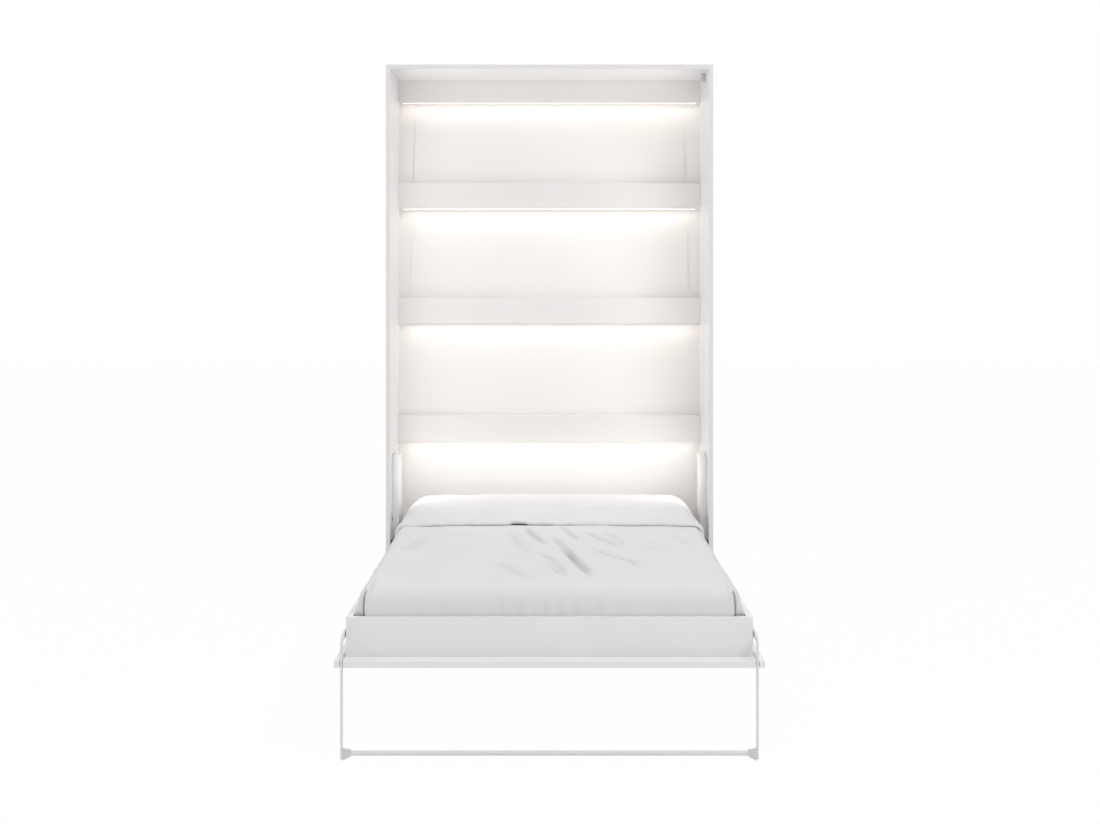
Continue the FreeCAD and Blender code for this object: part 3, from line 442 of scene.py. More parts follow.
def plumped(piece, box, voxel_mm, pressure, cap_mm):
    """A padded piece swelled by a cloth simulation under pressure, from an even mesh.

    Each point moves at most cap_mm, in the direction that the cloth took, and stays in the box. The result is
    written into the mesh, so no cloth is left on the piece.
    """
    scene = bpy.context.scene
    even = piece.modifiers.new("even_mesh", "REMESH")
    even.mode = "VOXEL"
    even.voxel_size = voxel_mm * MM
    even.use_smooth_shade = True
    evaluated = piece.evaluated_get(bpy.context.evaluated_depsgraph_get())
    remeshed = bpy.data.meshes.new_from_object(evaluated)
    piece.modifiers.remove(even)
    piece.data = remeshed
    start = coordinates(remeshed)
    cloth = piece.modifiers.new("cloth", "CLOTH")
    cloth.settings.quality = CLOTH_QUALITY
    cloth.settings.use_pressure = True
    cloth.settings.uniform_pressure_force = pressure
    cloth.settings.effector_weights.gravity = 0
    for number in range(1, CLOTH_FRAMES + 1):
        scene.frame_set(number)
    swelled = coordinates(piece.evaluated_get(bpy.context.evaluated_depsgraph_get()).data)
    piece.modifiers.remove(cloth)
    scene.frame_set(1)
    moved = swelled - start
    length = np.linalg.norm(moved, axis=1, keepdims=True) + 1e-9
    points = start + moved * np.minimum(1, cap_mm * MM / length)
    points = np.clip(points, np.array(box[0]) + BOX_MARGIN, np.array(box[1]) - BOX_MARGIN)
    remeshed.vertices.foreach_set("co", points.ravel().astype(np.float32))
    remeshed.update()
    smooth = piece.modifiers.new("smooth", "SUBSURF")
    smooth.levels = smooth.render_levels = 1


# ---- bedding ----

def eased(value, marks, levels):
    """A value that passes from level to level between marks, level at each."""
    total = np.full(np.shape(value), levels[0], dtype=float)
    for a, b, v, w in zip(marks[:-1], marks[1:], levels[:-1], levels[1:]):
        total += (w - v) * smooth_step((value - a) / (b - a))
    return total


def normals(grid):
    """Unit normals of a grid's points, from the cross product of its two directions."""
    across = np.gradient(grid, axis=1)
    along = np.gradient(grid, axis=0)
    facing = np.cross(across, along)
    return facing / (np.linalg.norm(facing, axis=2, keepdims=True) + 1e-12)


def section(share, half, low, high, corner, crown):
    """Across and up places of an outline over the bed: up its left side, over the top and down its right side.

    share runs from -1 at the left hem to 1 at the right one, along the outline's length: a vertical, a quarter
    circle of the corner's radius, then the top, which is high plus crown times one less the square of the
    share of the half width.
    """
    side = high - corner - low
    arc = math.pi / 2 * corner
    length = (side + arc + half - corner) * (1 - np.abs(share))
    turn = np.clip((length - side) / corner, 0, math.pi / 2)
    across = half - corner + corner * np.cos(turn) - np.maximum(length - side - arc, 0)
    up = low + np.minimum(length, side) + corner * np.sin(turn)
    crowned = up + crown * (1 - (across / half) ** 2) * smooth_step((length - side) / arc)
    return np.sign(share) * across, crowned


def spaced(marks, counts):
    """Places from the first mark to the last, with an even count between each two marks."""
    runs = [np.linspace(a, b, count, endpoint=False) for a, b, count in zip(marks, marks[1:], counts)]
    return np.concatenate(runs + [marks[-1:]])


def draped(half, foot, head, low, high, corner, crown, steps):
    """A cover over the bed from its head to its foot, hanging at both sides and at the foot.

    Its grid has steps columns down each side and steps rows down the foot, so each foot corner is a square
    patch, and its rows go from the foot's hem to the head. The top has more rows and columns where it is
    creased. A point lies on the ring whose number is the greater of its column's and its row's. The rings go
    down an eighth of a ball and then a quarter of a cylinder, and the place along a ring is the turn. Returned
    are the points, each point's turn as a share of a quarter turn, its way down and its column.
    """
    quarter = math.pi / 2
    drop = quarter * corner + high - corner - low
    hang = np.linspace(0, drop, steps + 1)[1:]
    flat_x = spaced([corner - half, CREASED_ACROSS[0], CREASED_ACROSS[1], half - corner], TOP_COLUMNS)
    flat_y = spaced([head, CREASED_ALONG[0], CREASED_ALONG[1], foot + corner], LONG_ROWS)
    column = np.concatenate([-np.arange(steps, 0, -1), np.zeros(len(flat_x), int), np.arange(1, steps + 1)])
    row = np.concatenate([np.zeros(len(flat_y), int), np.arange(1, steps + 1)])
    start_x = np.concatenate([np.full(steps, flat_x[0]), flat_x, np.full(steps, flat_x[-1])])
    start_y = np.concatenate([flat_y, np.full(steps, flat_y[-1])])
    column, row = np.meshgrid(column, row)
    start_x, start_y = np.meshgrid(start_x, start_y)
    ring = np.maximum(np.abs(column), row)
    down = np.concatenate([[0], hang])[ring]
    least = np.minimum(np.abs(column), row) / np.maximum(ring, 1) / 2
    turn = np.where(row > np.abs(column), 1 - least, least)
    turn = np.interp(turn, TURN_FROM, TURN_TO) * quarter
    tilt = np.clip(down / corner, 0, quarter)
    out = corner * np.sin(tilt)
    x = start_x + np.sign(column) * out * np.cos(turn) * (column != 0)
    y = start_y - out * np.sin(turn) * (row != 0)
    z = high - corner + corner * np.cos(tilt) - np.maximum(down - quarter * corner, 0)
    z = z + crown * (1 - (x / half) ** 2) * smooth_step(1 - down / drop * 2)
    points = np.stack([x, y, z], axis=-1)
    return points[::-1], (turn / quarter)[::-1], down[::-1], column[::-1]


def front_y(mm):
    """A distance in millimetres behind the cabinet's front, as a place along the bed."""
    return FRONT_Y + mm * MM


def from_front(path):
    """A path given in millimetres, across and behind the cabinet's front, in the frame's millimetres."""
    return [(across, along + FRONT_Y / MM) for across, along in path]


MATTRESS_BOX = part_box("mattress")
DUVET_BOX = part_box("duvet")
PILLOW_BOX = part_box("pillow")
FOLD_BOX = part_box("duvet_fold")
CROWN = 5 * MM

# The part of the duvet's top that is creased, across and along the bed, and the columns and rows of its grid
# before, in and after that part, then those down each drop.
CREASED_ACROSS = (-150 * MM, 340 * MM)
CREASED_ALONG = (front_y(-380), front_y(-1500))
TOP_COLUMNS = (26, 136, 20)
LONG_ROWS = (10, 150, 14)
DROP_STEPS = 20

# Places along a corner's ring, as shares of a quarter turn, are drawn together round the slit where the side's
# drop laps the foot's. Then the slit's place, half its width, its depth, and where down the drop it starts and
# over what length.
TURN_FROM = (0, 0.35, 0.42, 0.75, 1)
TURN_TO = (0, 0.38, 0.52, 0.72, 1)
SLIT_TURN = 0.62
SLIT_HALF = 0.05
SLIT_DEPTH = 15 * MM
SLIT_FROM = 24 * MM
SLIT_FADE = 14 * MM

# The duvet's width as a share of its solid's, at its foot, at its middle and under the turned-back end. Its
# sides flare out again within this height above the hem, less and less up to this turn round a foot corner.
DRAWN_IN = (0.972, 0.975, 0.984)
DRAWN_PLACES = (front_y(-1180), front_y(-300))
FLARE_HEIGHT = 50 * MM
FLARE_TURN = 0.45
FLARE_FADE = 0.3

# The radius of the duvet's edges outside and inside, and how far its inside stands off the mattress.
DUVET_CORNER = 34 * MM
DUVET_INNER_CORNER = 26 * MM
BESIDE_MATTRESS = 0.6 * MM
ABOVE_MATTRESS = 0.5 * MM

# How far the duvet's top sinks towards its foot, from where and over what length.
FOOT_SINK = 8 * MM
SINK_FROM = front_y(-1380)
SINK_LENGTH = 240 * MM

# How far from the duvet's end its foot folds begin, the lengths over which they grow along the bed and down,
# and how far they lean for each length along it.
FOOT_REACH = 70 * MM
FOOT_FADE = 60 * MM
FOOT_RISE = 90 * MM
FOOT_LEAN = 0.25

# Heights of the duvet's broad and fine waves, and of those on its hanging sides, which lie this near its
# edges and face at least this much sideways.
BROAD_WAVE = 1.1 * MM
FINE_WAVE = 0.35 * MM
HANGING_WAVE = 1.6 * MM
HANG_FROM = 40 * MM
HANG_FADE = 30 * MM
SIDEWAYS = 0.3

# Creases fade by smooth steps over these lengths before the head and above the hem. The head's rim lies this
# far up its step, so a little of them is left there. They push a point no further than this range.
HEAD_FADE = 30 * MM
LEFT_AT_HEAD = 0.3
HEM_FADE = 25 * MM
PUSH_RANGE = (-14 * MM, 5 * MM)

# Painted shade darkens the cloth with the depth of a crease, by this depth to full and no more than this
# share.
SHADE_DEPTH = 40 * MM
SHADE_MOST = 0.3

# Creases pressed into the duvet, each a path across and behind the cabinet's front, then its width and depth.
DUVET_CREASES = [
    ([(-94, -360), (-56, -599), (-6, -860)], 10, 11.0),
    ([(4, -599), (65, -1014), (94, -1230)], 10, 8.0),
    ([(48, -900), (89, -1210), (115, -1395), (127, -1530)], 14, 15.0),
    ([(-44, -989), (10, -1153), (44, -1408), (57, -1560)], 13, 7.0),
    ([(40, -345), (75, -570), (107, -767)], 10, 8.0),
    ([(119, -467), (174, -691), (221, -820), (263, -912)], 10, 8.0),
    ([(189, -489), (228, -642), (262, -847)], 9, 6.0),
    ([(120, -860), (190, -1051), (255, -1183), (295, -1386)], 14, 7.0),
    ([(310, -820), (355, -912), (409, -938)], 12, 5.0),
    ([(-9, -1195), (17, -1342), (43, -1524)], 10, 5.0),
    ([(-137, -452), (-101, -807), (-51, -1124)], 20, 4.0),
    ([(-478, -938), (-454, -820), (-432, -635)], 24, 4.0),
    ([(423, -526), (454, -705), (470, -860)], 16, 4.0),
    ([(-165, -1183), (-91, -1408), (-23, -1560)], 26, 4.0),
]

# Soft upright folds on the duvet's foot, each its place across, width and depth. The cloth between them rises
# by a share of the depth, and in them painted shade darkens it by a share for each millimetre of depth.
FOOT_FOLDS = [(-170, 10.4, 4.4), (-141, 11.7, 5.5), (-112, 9.1, 3.3), (-84, 11.7, 6.6), (-48, 10.4, 4.4),
              (-13, 13, 6.6), (28, 10.4, 4.4), (73, 13, 6.6), (108, 10.4, 4.4), (144, 13, 5.5),
              (205, 18.2, 3.3), (-250, 20.8, 2.75), (330, 26, 2.2), (-380, 28.6, 2.2)]
RISE_BETWEEN = 0.12
SHADE_PER_MM = 0.00727

# Creases of the turned-back end, given in the same way.
FOLD_CREASES = [
    ([(-540, -330), (-380, -290), (-180, -330)], 16, 2.5),
    ([(-430, -120), (-250, -180), (-60, -140)], 20, 2.0),
    ([(60, -170), (240, -120), (450, -190)], 18, 2.5),
    ([(-120, -340), (20, -280), (200, -300)], 14, 2.5),
    ([(240, -320), (400, -260), (530, -330)], 15, 3.0),
    ([(-330, 60), (-120, 110), (60, 60)], 26, 3.0),
    ([(40, 160), (220, 70), (420, 120)], 26, 3.0),
]


def duvet():
    """The duvet's outside and inside: creased on top, softly folded at its foot, slit at its foot corners."""
    low, high = DUVET_BOX
    half, hem, top = high.x, low.z, high.z - CROWN
    outside, turn, down, column = draped(half, low.y, high.y, hem, top, DUVET_CORNER, CROWN, DROP_STEPS)
    mattress_low, mattress_high = MATTRESS_BOX
    inside = draped(mattress_high.x + BESIDE_MATTRESS, mattress_low.y - BESIDE_MATTRESS, high.y, hem,
                    mattress_high.z - CROWN + ABOVE_MATTRESS, DUVET_INNER_CORNER, CROWN, DROP_STEPS)[0]
    foot_line = low.y + FOOT_REACH
    drawn = eased(outside[..., 1], [foot_line, *DRAWN_PLACES], DRAWN_IN)
    flared = smooth_step((hem + FLARE_HEIGHT - outside[..., 2]) / FLARE_HEIGHT)
    flared *= smooth_step((FLARE_TURN - turn) / FLARE_FADE)
    outside[..., 0] *= 1 + (drawn - 1) * (1 - flared)
    outside[..., 2] -= FOOT_SINK * smooth_step((SINK_FROM - outside[..., 1]) / SINK_LENGTH) * (column == 0)
    x, y, z = outside[..., 0], outside[..., 1], outside[..., 2]
    facing = normals(outside)
    push = np.zeros_like(x)
    # Painted shade, gathered for the crease valleys and the foot folds.
    painted_valley_shade = np.zeros_like(x)
    for path, width, depth in DUVET_CREASES:
        fold = crease(x, y, from_front(path), width, depth)
        push += fold
        painted_valley_shade += np.clip(-fold / SHADE_DEPTH, 0, SHADE_MOST)
    push += ripples(x, y, seed=3, size_mm=190, count=9, lean=(0.2, 1.2)) * BROAD_WAVE
    push += ripples(x, y, seed=4, size_mm=70, count=9) * FINE_WAVE
    foot = smooth_step((foot_line - y) / FOOT_FADE) * smooth_step((top + CROWN - z) / FOOT_RISE)
    for across, width, depth in FOOT_FOLDS:
        bell = np.exp(-(((x - across * MM) + (y - low.y) * FOOT_LEAN) / (width * MM)) ** 2)
        push += foot * depth * MM * (RISE_BETWEEN - bell)
        painted_valley_shade += foot * bell * depth * SHADE_PER_MM
    hang = smooth_step((np.abs(x) - half + HANG_FROM) / HANG_FADE) * (np.abs(facing[..., 0]) > SIDEWAYS)
    push += hang * ripples(y, y * 0, seed=5, size_mm=120, count=8, lean=(-0.3, 0.3)) * HANGING_WAVE
    push *= smooth_step((high.y - y) / HEAD_FADE + LEFT_AT_HEAD) * smooth_step((z - hem) / HEM_FADE)
    push = np.clip(push, *PUSH_RANGE)
    slit = np.exp(-((turn - SLIT_TURN) / SLIT_HALF) ** 4) * smooth_step((down - SLIT_FROM) / SLIT_FADE)
    slit *= (column != 0)
    outside = outside + facing * (push - slit * SLIT_DEPTH)[..., None]
    piece = shell_piece("duvet_cover", outside, inside, COTTON, bulge=0.6)
    # Painted shade in the slits and the crease valleys, written per point for the cotton to darken.
    write_painted_shade(piece, np.clip(slit + painted_valley_shade, 0, 1))
    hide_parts("duvet")
    return piece


# How far the turned-back end's lip stands off the duvet, in millimetres, at places across the bed.
GAP_PLACES = (-560, -480, -400, -300, -152, -138, -90, -76, 0, 40, 70, 110, 150, 200, 250, 300, 420, 520, 560)
GAP_HEIGHTS = (1, 0.5, 3, 3.5, 3, 10, 10, 3.5, 4, 0.3, 3, 0.3, 2.5, 0.5, 3, 2.5, 3, 3, 2)

# The lip's place behind the solid's foot end, and the columns and rows of the turned-back end's grid. Its rows
# are closer together near the lip.
LIP_SETBACK = 34 * MM
FOLD_COLUMNS = 190
LIP_ROWS = 16
FOLD_ROWS = 84
LIP_REACH = 44 * MM

# The outline of the turned-back end rises from its lip over the pillow and falls to its head: the lip's
# length, then places along the bed, levels below the top there, and radii of its edges.
LIP_LENGTH = 28 * MM
RISE_PLACES = tuple(front_y(mm) for mm in (-40, 12, 250, 339))
RISE_LEVELS = (39 * MM, 34 * MM, 4 * MM, 0, 0, 27 * MM)
FOLD_CORNERS = (34 * MM, 92 * MM, 92 * MM, 60 * MM)

# How far the turned-back end is narrower than its solid, how thick it is, and its play beside the duvet.
FOLD_SIDE = 8 * MM
FOLD_THICK = 13 * MM
FOLD_INNER_CORNER = 4 * MM
BESIDE_DUVET = 0.8 * MM

# Heights of its broad and fine waves, the most that they lift a point, the length over which they fade, and
# how far up that step the rim lies.
FOLD_BROAD_WAVE = 2.0 * MM
FOLD_FINE_WAVE = 0.7 * MM
FOLD_PUSH_MOST = 3 * MM
RIM_FADE = 40 * MM
LEFT_AT_RIM = 0.1

# How far the lip's line wanders up, in millimetres, and along the bed, in broad and in fine waves, how far it
# comes forward at most, and the lean of its waves, which run nearly straight across.
LIP_UP_MM = 0.9
LIP_ALONG_MM = 4
LIP_ALONG_FINE_MM = 1.5
LIP_FORWARD_MOST = 3 * MM
STRAIGHT_ACROSS = (-0.2, 0.2)


def folded_end():
    """The duvet's turned-back end: a thick shell over the pillow, its lip rolled and a little jagged."""
    low, high = FOLD_BOX
    half, hem, top = high.x - FOLD_SIDE, low.z, high.z - CROWN
    lip_y = low.y + LIP_SETBACK
    share = np.linspace(-1, 1, FOLD_COLUMNS)
    y = np.concatenate([np.linspace(lip_y, lip_y + LIP_REACH, LIP_ROWS, endpoint=False),
                        np.linspace(lip_y + LIP_REACH, high.y, FOLD_ROWS)])
    share, y = np.meshgrid(share, y)
    marks = [lip_y, lip_y + LIP_LENGTH, *RISE_PLACES]
    level = eased(y, marks, [top - below for below in RISE_LEVELS])
    corner = eased(y, [marks[0], marks[2], marks[4], marks[5]], FOLD_CORNERS)
    x, z = section(share, half, hem, level, corner, CROWN)
    outside = np.stack([x, y, z], axis=-1)
    x, z = section(share, DUVET_BOX[1].x * DRAWN_IN[-1] + BESIDE_DUVET, hem, level - FOLD_THICK,
                   corner - FOLD_INNER_CORNER, CROWN)
    inside = np.stack([x, y, z], axis=-1)
    x = outside[..., 0]
    facing = normals(outside)
    push = ripples(x, y, seed=11, size_mm=150, count=10) * FOLD_BROAD_WAVE
    push += ripples(x, y, seed=12, size_mm=60, count=10) * FOLD_FINE_WAVE
    for path, width, depth in FOLD_CREASES:
        push += crease(x, y, from_front(path), width, depth)
    away = np.minimum(y - lip_y, high.y - y)
    push *= smooth_step(away / RIM_FADE + LEFT_AT_RIM) * smooth_step((outside[..., 2] - hem) / HEM_FADE)
    outside = outside + facing * np.minimum(push, FOLD_PUSH_MOST)[..., None]
    lip = np.exp(-((y - lip_y) / LIP_LENGTH) ** 2)
    gap = eased(x, [mm * MM for mm in GAP_PLACES], GAP_HEIGHTS)
    gap = (gap + LIP_UP_MM * ripples(x, x * 0, seed=13, size_mm=46, count=8, lean=STRAIGHT_ACROSS)) * MM
    broad = ripples(x, x * 0, seed=14, size_mm=210, count=8, lean=STRAIGHT_ACROSS) * LIP_ALONG_MM
    fine = ripples(x, x * 0, seed=15, size_mm=60, count=8, lean=STRAIGHT_ACROSS) * LIP_ALONG_FINE_MM
    shift = (broad + fine) * MM
    for grid in (outside, inside):
        grid[..., 2] += lip * np.maximum(gap, 0)
        grid[..., 1] += np.maximum(shift, -LIP_FORWARD_MOST) * lip
    piece = shell_piece("duvet_turned_back", outside, inside, COTTON, bulge=0.9)
    write_painted_shade(piece, lip * 0)
    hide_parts("duvet_fold")
    return piece


# The pillow: its grid, how far its sides are drawn in between its corners and lie inside its solid, as shares
# of its half size, its rim's level above its underside, the room left above and below it for its swelling,
# the height of its waves, and half its rim's thickness.
PILLOW_GRID = (120, 60)
PILLOW_DRAWN = 0.05
PILLOW_INSET = (0.02, 0.01)
PILLOW_RIM = 13 * MM
PILLOW_ROOM = 7 * MM
PILLOW_UNDER = 0.5 * MM
PILLOW_WAVE = 1.5 * MM
RIM_HALF = 1 * MM


def pillow():
    """A plump pillow: two sheets that part towards its middle and are pinched together at its rim.

    The gap grows as the power 0.45 of one less u to the fourth, times the same of v, where u and v run from -1
    to 1 along its sides.
    """
    low, high = PILLOW_BOX
    u, v = np.meshgrid(np.linspace(-1, 1, PILLOW_GRID[0]), np.linspace(-1, 1, PILLOW_GRID[1]))
    x = u * high.x * (1 - PILLOW_DRAWN * (1 - v ** 2) * np.abs(u) ** 6 - PILLOW_INSET[0])
    drawn = 1 - PILLOW_DRAWN * (1 - u ** 2) * np.abs(v) ** 6 - PILLOW_INSET[1]
    y = (low.y + high.y) / 2 + v * (high.y - low.y) / 2 * drawn
    plump = ((1 - u ** 4) * (1 - v ** 4)) ** 0.45
    middle = low.z + PILLOW_RIM
    above = middle + (high.z - middle - PILLOW_ROOM) * plump
    above += ripples(x, y, seed=21, size_mm=120, count=8) * PILLOW_WAVE * plump
    below = middle - (middle - low.z - PILLOW_UNDER) * plump
    top = np.stack([x, y, above + RIM_HALF], axis=-1)
    bottom = np.stack([x, y, below - RIM_HALF], axis=-1)
    piece = shell_piece("pillow_case", top, bottom, COTTON, bulge=1.0, steps=3)
    plumped(piece, PILLOW_BOX, voxel_mm=6, pressure=4, cap_mm=9)
    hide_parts("pillow")
    return piece


# The mattress: its grid, how far its sides lie in from its solid, by this share between the corners, how far
# its edges fall, its quilting's pitch and depth, and how far its sheets lie inside its solid.
MATTRESS_GRID = (136, 240)
MATTRESS_INSET = 12 * MM
INSET_SHARE = 0.3
EDGE_FALL = 9 * MM
QUILT_PITCH = 170 * MM
QUILT_DEPTH = 1.6 * MM
SHEET_ABOVE = 2 * MM
SHEET_BELOW = 1.8 * MM


def mattress():
    """A sprung mattress: quilted top and bottom sheets, and a side wall drawn in between its two seams.

    The quilting is the square root of the product of two slanting sine waves: each zero is a seam.
    """
    low, high = MATTRESS_BOX
    u, v = np.meshgrid(np.linspace(-1, 1, MATTRESS_GRID[0]), np.linspace(-1, 1, MATTRESS_GRID[1]))
    rounding = (np.abs(u) ** 12 + np.abs(v) ** 12) / 2
    x = u * (high.x - MATTRESS_INSET * (INSET_SHARE + (1 - INSET_SHARE) * np.abs(v) ** 20))
    half = (high.y - low.y) / 2 - MATTRESS_INSET * (INSET_SHARE + (1 - INSET_SHARE) * np.abs(u) ** 20)
    y = (low.y + high.y) / 2 + v * half
    waves = np.sin(math.pi * (x + y) / QUILT_PITCH) * np.sin(math.pi * (x - y) / QUILT_PITCH)
    seams = (np.abs(waves) ** 0.5 - 1) * QUILT_DEPTH
    fall = EDGE_FALL * rounding
    above = high.z - CROWN - SHEET_ABOVE - fall + CROWN * (1 - u ** 2) + seams
    below = low.z + SHEET_BELOW + fall - seams * (1 - rounding)
    piece = shell_piece("mattress_cover", np.stack([x, y, above], axis=-1), np.stack([x, y, below], axis=-1),
                        KNIT, bulge=0.06, steps=9)
    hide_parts("mattress")
    return piece


for soft in (duvet(), folded_end(), pillow(), mattress()):
    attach(soft, "bed")


# ---- small fittings ----

# Points across and up a slim box's faces.
SLIM_GRID = (4, 12)


def slim_box(name, low, high, material, ease):
    """A slim box whose front edges are rounded, made of two grids of points and the edge that joins them."""
    across, up = np.meshgrid(np.linspace(low[0] + ease, high[0] - ease, SLIM_GRID[0]),
                             np.linspace(low[2] + ease, high[2] - ease, SLIM_GRID[1]))
    front = np.stack([across, np.full_like(across, low[1]), up], axis=-1)
    back = np.stack([across, np.full_like(across, high[1]), up], axis=-1)
    return shell_piece(name, front, back, material, bulge=2 * ease / (high[1] - low[1]))


# A screw head's profile, from its recess's floor over its dome to its seat: radii and heights as shares of its
# radius, and whether the radius is that of a hexagon.
HEAD_PROFILE = np.array([(0.0, 0.2), (0.42, 0.2), (0.46, 0.46), (0.5, 0.5), (0.75, 0.45), (0.93, 0.3),
                         (1.0, 0.1), (1.0, 0.0)])
HEAD_HEXAGON = np.array([1, 1, 1, 0, 0, 0, 0, 0])
HEAD_POINTS = 24


def screws(name, places, facing, material, radius_mm):
    """Pan-head screws with a six-sided recess: a profile turned about each screw's axis, which is along X.

    In the recess, the radius at each angle is that of a hexagon.
    """
    profile = HEAD_PROFILE * radius_mm * MM
    turn = np.linspace(0, 2 * math.pi, HEAD_POINTS, endpoint=False)
    sixth = math.pi / 3
    hexagon = math.cos(sixth / 2) / np.cos(turn % sixth - sixth / 2)
    radius = profile[:, :1] * np.where(HEAD_HEXAGON[:, None], hexagon, 1)
    outward = np.repeat(profile[:, 1:], HEAD_POINTS, axis=1) * facing
    ring = np.stack([outward, radius * np.cos(turn), radius * np.sin(turn)], axis=-1).reshape(-1, 3)
    index = np.arange(len(ring)).reshape(-1, HEAD_POINTS)
    after = np.roll(index, -1, axis=1)
    faces = np.stack([index[:-1], after[:-1], after[1:], index[1:]], axis=-1)
    faces = faces.reshape(-1, 4)[:, ::int(-facing)]
    points = [ring + np.array(place) for place in places]
    every = [faces + number * len(ring) for number in range(len(places))]
    return mesh_piece(name, np.concatenate(points), np.concatenate(every), material)


# Screws in the hinge plates and in the pivot brackets, behind and above the pivot in millimetres, and their
# heads' radii. They keep clear of the gas springs as these swing.
PLATE_SCREWS = [(-25.5, 25.5), (-25.5, -25.5), (25.5, -25.5), (50, 165), (94, 255)]
BRACKET_SCREWS = [(-18, -23), (32, -23), (118, -23), (118, 23), (62, 23)]
PLATE_SCREW_MM = 4.5
BRACKET_SCREW_MM = 4

# The lip of a cover hides the hinge plate's black edge from this level up. It stands off the plate's two faces
# and the cover, and its edges are rounded.
COVER_LIP_FROM_Z = 447 * MM
COVER_LIP_SIDE_GAP = 0.2 * MM
COVER_LIP_THICK = 1.2 * MM
COVER_LIP_GAP = 0.1 * MM
COVER_LIP_EASE = 0.5 * MM

for word, side in (("left", -1), ("right", 1)):
    plate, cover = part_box(f"hinge_plate_{word}"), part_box(f"mechanism_cover_{word}")
    lip_back = cover[0].y - COVER_LIP_GAP
    lip_low = (plate[0].x + COVER_LIP_SIDE_GAP, lip_back - COVER_LIP_THICK, COVER_LIP_FROM_Z)
    lip_high = (plate[1].x - COVER_LIP_SIDE_GAP, lip_back, cover[1].z)
    lip = slim_box(f"cover_lip_{word}", lip_low, lip_high, COVER_STEEL_PAINTED_LIGHT, COVER_LIP_EASE)
    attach(lip, "cabinet")
    pin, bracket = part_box(f"pivot_pin_{word}"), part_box(f"pivot_bracket_{word}")
    pivot_y, pivot_z = (pin[0].y + pin[1].y) / 2, (pin[0].z + pin[1].z) / 2
    plate_face = plate[1 if side < 0 else 0].x
    bracket_face = bracket[0 if side < 0 else 1].x
    for label, face, places, facing, body, radius in (
            ("hinge", plate_face, PLATE_SCREWS, -side, "cabinet", PLATE_SCREW_MM),
            ("bracket", bracket_face, BRACKET_SCREWS, side, "bed", BRACKET_SCREW_MM)):
        spots = [(face, pivot_y + y * MM, pivot_z + z * MM) for y, z in places]
        fixings = screws(f"{label}_screws_{word}", spots, facing, ZINC, radius)
        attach(fixings, body)


# ---- stage, light and camera ----

def shown_white(tree):
    """How much a ray comes from the camera, a mirror or glass, for which the stage and the sky are white."""
    rays = node(tree, "ShaderNodeLightPath")
    seen = rays.outputs["Is Camera Ray"]
    for ray in ("Is Glossy Ray", "Is Transmission Ray"):
        links = [(0, seen), (1, rays.outputs[ray])]
        seen = node(tree, "ShaderNodeMath", links, operation="MAXIMUM").outputs[0]
    return seen


def stage_material(name, colour, shown):
    """A plain surface that camera and mirror rays see as mostly white light, keeping a faint shadow."""
    material = bpy.data.materials.new(name)
    material.use_nodes = True
    tree = material.node_tree
    tree.nodes.clear()
    share = node(tree, "ShaderNodeMath", [(0, shown_white(tree))], operation="MULTIPLY", inputs={1: shown})
    lit = node(tree, "ShaderNodeBsdfDiffuse", inputs={"Color": linear(colour)})
    white = node(tree, "ShaderNodeEmission", inputs={"Color": WHITE, "Strength": 1.0})
    links = [(0, share.outputs[0]), (1, lit.outputs[0]), (2, white.outputs[0])]
    mixed = node(tree, "ShaderNodeMixShader", links)
    node(tree, "ShaderNodeOutputMaterial", [("Surface", mixed.outputs[0])])
    return material


def stage_plane(name, corners, material):
    """A flat four-cornered piece of the stage."""
    plane = mesh_piece(name, corners, np.array([[0, 1, 2, 3]]), material, smooth=False)
    return plane


WHITE = (1, 1, 1, 1)
FLOOR_HALF = 30
FLOOR_SHOWN = 0.97
floor_corners = [(x * FLOOR_HALF, y * FLOOR_HALF, 0) for x, y in ((-1, -1), (1, -1), (1, 1), (-1, 1))]
stage_plane("floor", floor_corners, stage_material("stage_floor", "#FBFBFB", FLOOR_SHOWN))

# A warm card in front at the right, which only mirrors see: it tones the right part of the gloss boards.
CARD_Y = -9.5
CARD_X = (0.75, 9)
CARD_Z = (-2, 9)
card_material = bpy.data.materials.new("stage_card")
card_material.use_nodes = True
card_tree = card_material.node_tree
card_tree.nodes.clear()
card_light = node(card_tree, "ShaderNodeEmission", inputs={"Color": linear("#E2CDB8"), "Strength": 1.0})
node(card_tree, "ShaderNodeOutputMaterial", [("Surface", card_light.outputs[0])])
card_corners = [(CARD_X[i], CARD_Y, CARD_Z[k]) for i, k in ((0, 0), (1, 0), (1, 1), (0, 1))]
card = stage_plane("reflected_card", card_corners, card_material)
card.visible_camera = False
card.visible_diffuse = False
card.visible_shadow = False
card.visible_transmission = False

# The sky's light grows with height, from nothing a little below the horizon. Camera and mirrors see it white.
SKY_RANGE = {"From Min": -0.1, "From Max": 1.0, "To Min": 0.0, "To Max": 1.06}
world = bpy.data.worlds.new("studio")
bpy.context.scene.world = world
world.use_nodes = True
tree = world.node_tree
tree.nodes.clear()
direction = node(tree, "ShaderNodeTexCoord").outputs["Generated"]
height = node(tree, "ShaderNodeSeparateXYZ", [("Vector", direction)]).outputs["Z"]
strength = node(tree, "ShaderNodeMapRange", [("Value", height)], inputs=SKY_RANGE).outputs["Result"]
soft_light = node(tree, "ShaderNodeBackground", [("Strength", strength)], inputs={"Color": WHITE})
white = node(tree, "ShaderNodeBackground", inputs={"Color": WHITE, "Strength": 1.0})
links = [(0, shown_white(tree)), (1, soft_light.outputs[0]), (2, white.outputs[0])]
sky = node(tree, "ShaderNodeMixShader", links)
node(tree, "ShaderNodeOutputWorld", [("Surface", sky.outputs[0])])


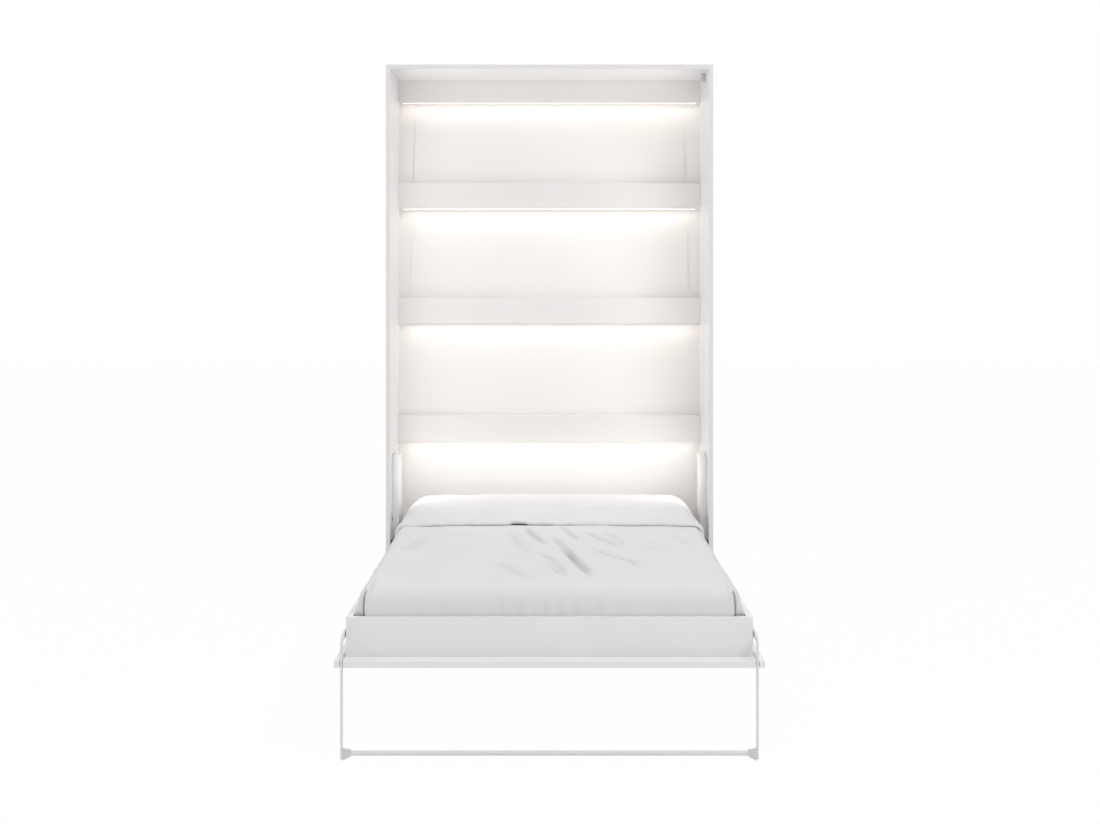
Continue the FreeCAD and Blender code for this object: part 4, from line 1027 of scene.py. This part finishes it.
def soft_box(name, place, aim, size, watts, spread=180, colour="#FFFFFF"):
    """A soft light of a size across and up, aimed at a point, its rays spread over an angle in degrees."""
    lamp = bpy.data.lights.new(name, "AREA")
    lamp.shape = "RECTANGLE"
    lamp.size, lamp.size_y = size
    lamp.energy = watts
    lamp.spread = math.radians(spread)
    lamp.color = linear(colour)[:3]
    holder = bpy.data.objects.new(name, lamp)
    bpy.context.scene.collection.objects.link(holder)
    holder.location = place
    holder.rotation_euler = (Vector(aim) - Vector(place)).to_track_quat("-Z", "Y").to_euler()
    holder.visible_glossy = False
    holder.visible_camera = False


# Each lamp's place, aim, size and watts. The fills stand inside the cabinet, behind its front plane.
soft_box("key_light", (2.6, -3.6, 4.6), (0, -0.6, 0.5), (1.8, 1.8), watts=68)
soft_box("side_light", (-4.2, -2.4, 2.6), (0, -0.6, 0.6), (1.8, 1.8), watts=26)
soft_box("cabinet_fill", (0, front_y(30), 1.3), (0, front_y(1000), 1.3), (1.15, 1.7), watts=0.06)
soft_box("high_fill", (0, front_y(30), 2.06), (0, front_y(1000), 2.08), (1.15, 0.16), watts=0.11, spread=80)
soft_box("low_fill", (0, front_y(50), 0.66), (0, front_y(430), 0.59), (1.18, 0.16), watts=0.2, spread=80)
for word, side in (("left", -1), ("right", 1)):
    soft_box(f"cross_fill_{word}", (side * 0.57, front_y(60), 1.3), (-side * 0.6, front_y(350), 1.3),
             (0.05, 1.5), watts=1.3)
    soft_box(f"corner_fill_{word}", (side * 0.5, front_y(100), 0.62), (side * 0.56, front_y(400), 0.47),
             (0.12, 0.12), watts=0.03)

# Two lamps under each light strip: one for the broad glow on the back, one for its bright upper edge.
back_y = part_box("back_panel")[0].y
for number in (1, 2, 3, 4):
    low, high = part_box(f"led_diffuser_{number}")
    place = (0, (low.y + high.y) / 2, low.z - 2 * MM)
    soft_box(f"glow_{number}", place, (0, back_y, low.z - 300 * MM), (1.15, 0.012), watts=0.03, spread=110,
             colour=STRIP_COLOUR)
    soft_box(f"edge_{number}", place, (0, back_y, low.z - 20 * MM), (1.2, 0.012), watts=0.048,
             colour=STRIP_COLOUR)

# The camera stands level before the cabinet, at the place that the photograph's perspective gives.
CAMERA_DISTANCE_MM = 6650
CAMERA_HEIGHT = 1289.5 * MM
scene = bpy.context.scene
scene.view_settings.view_transform = "Standard"
camera_data = bpy.data.cameras.new("camera")
camera_data.lens = 57.24
camera_data.sensor_width = 36
camera_data.sensor_fit = "HORIZONTAL"
camera_data.shift_x = 0.00045
camera_data.shift_y = -0.1018
camera = bpy.data.objects.new("camera", camera_data)
scene.collection.objects.link(camera)
camera.location = (0, front_y(-CAMERA_DISTANCE_MM), CAMERA_HEIGHT)
camera.rotation_euler = (math.radians(90), 0, 0)
scene.camera = camera
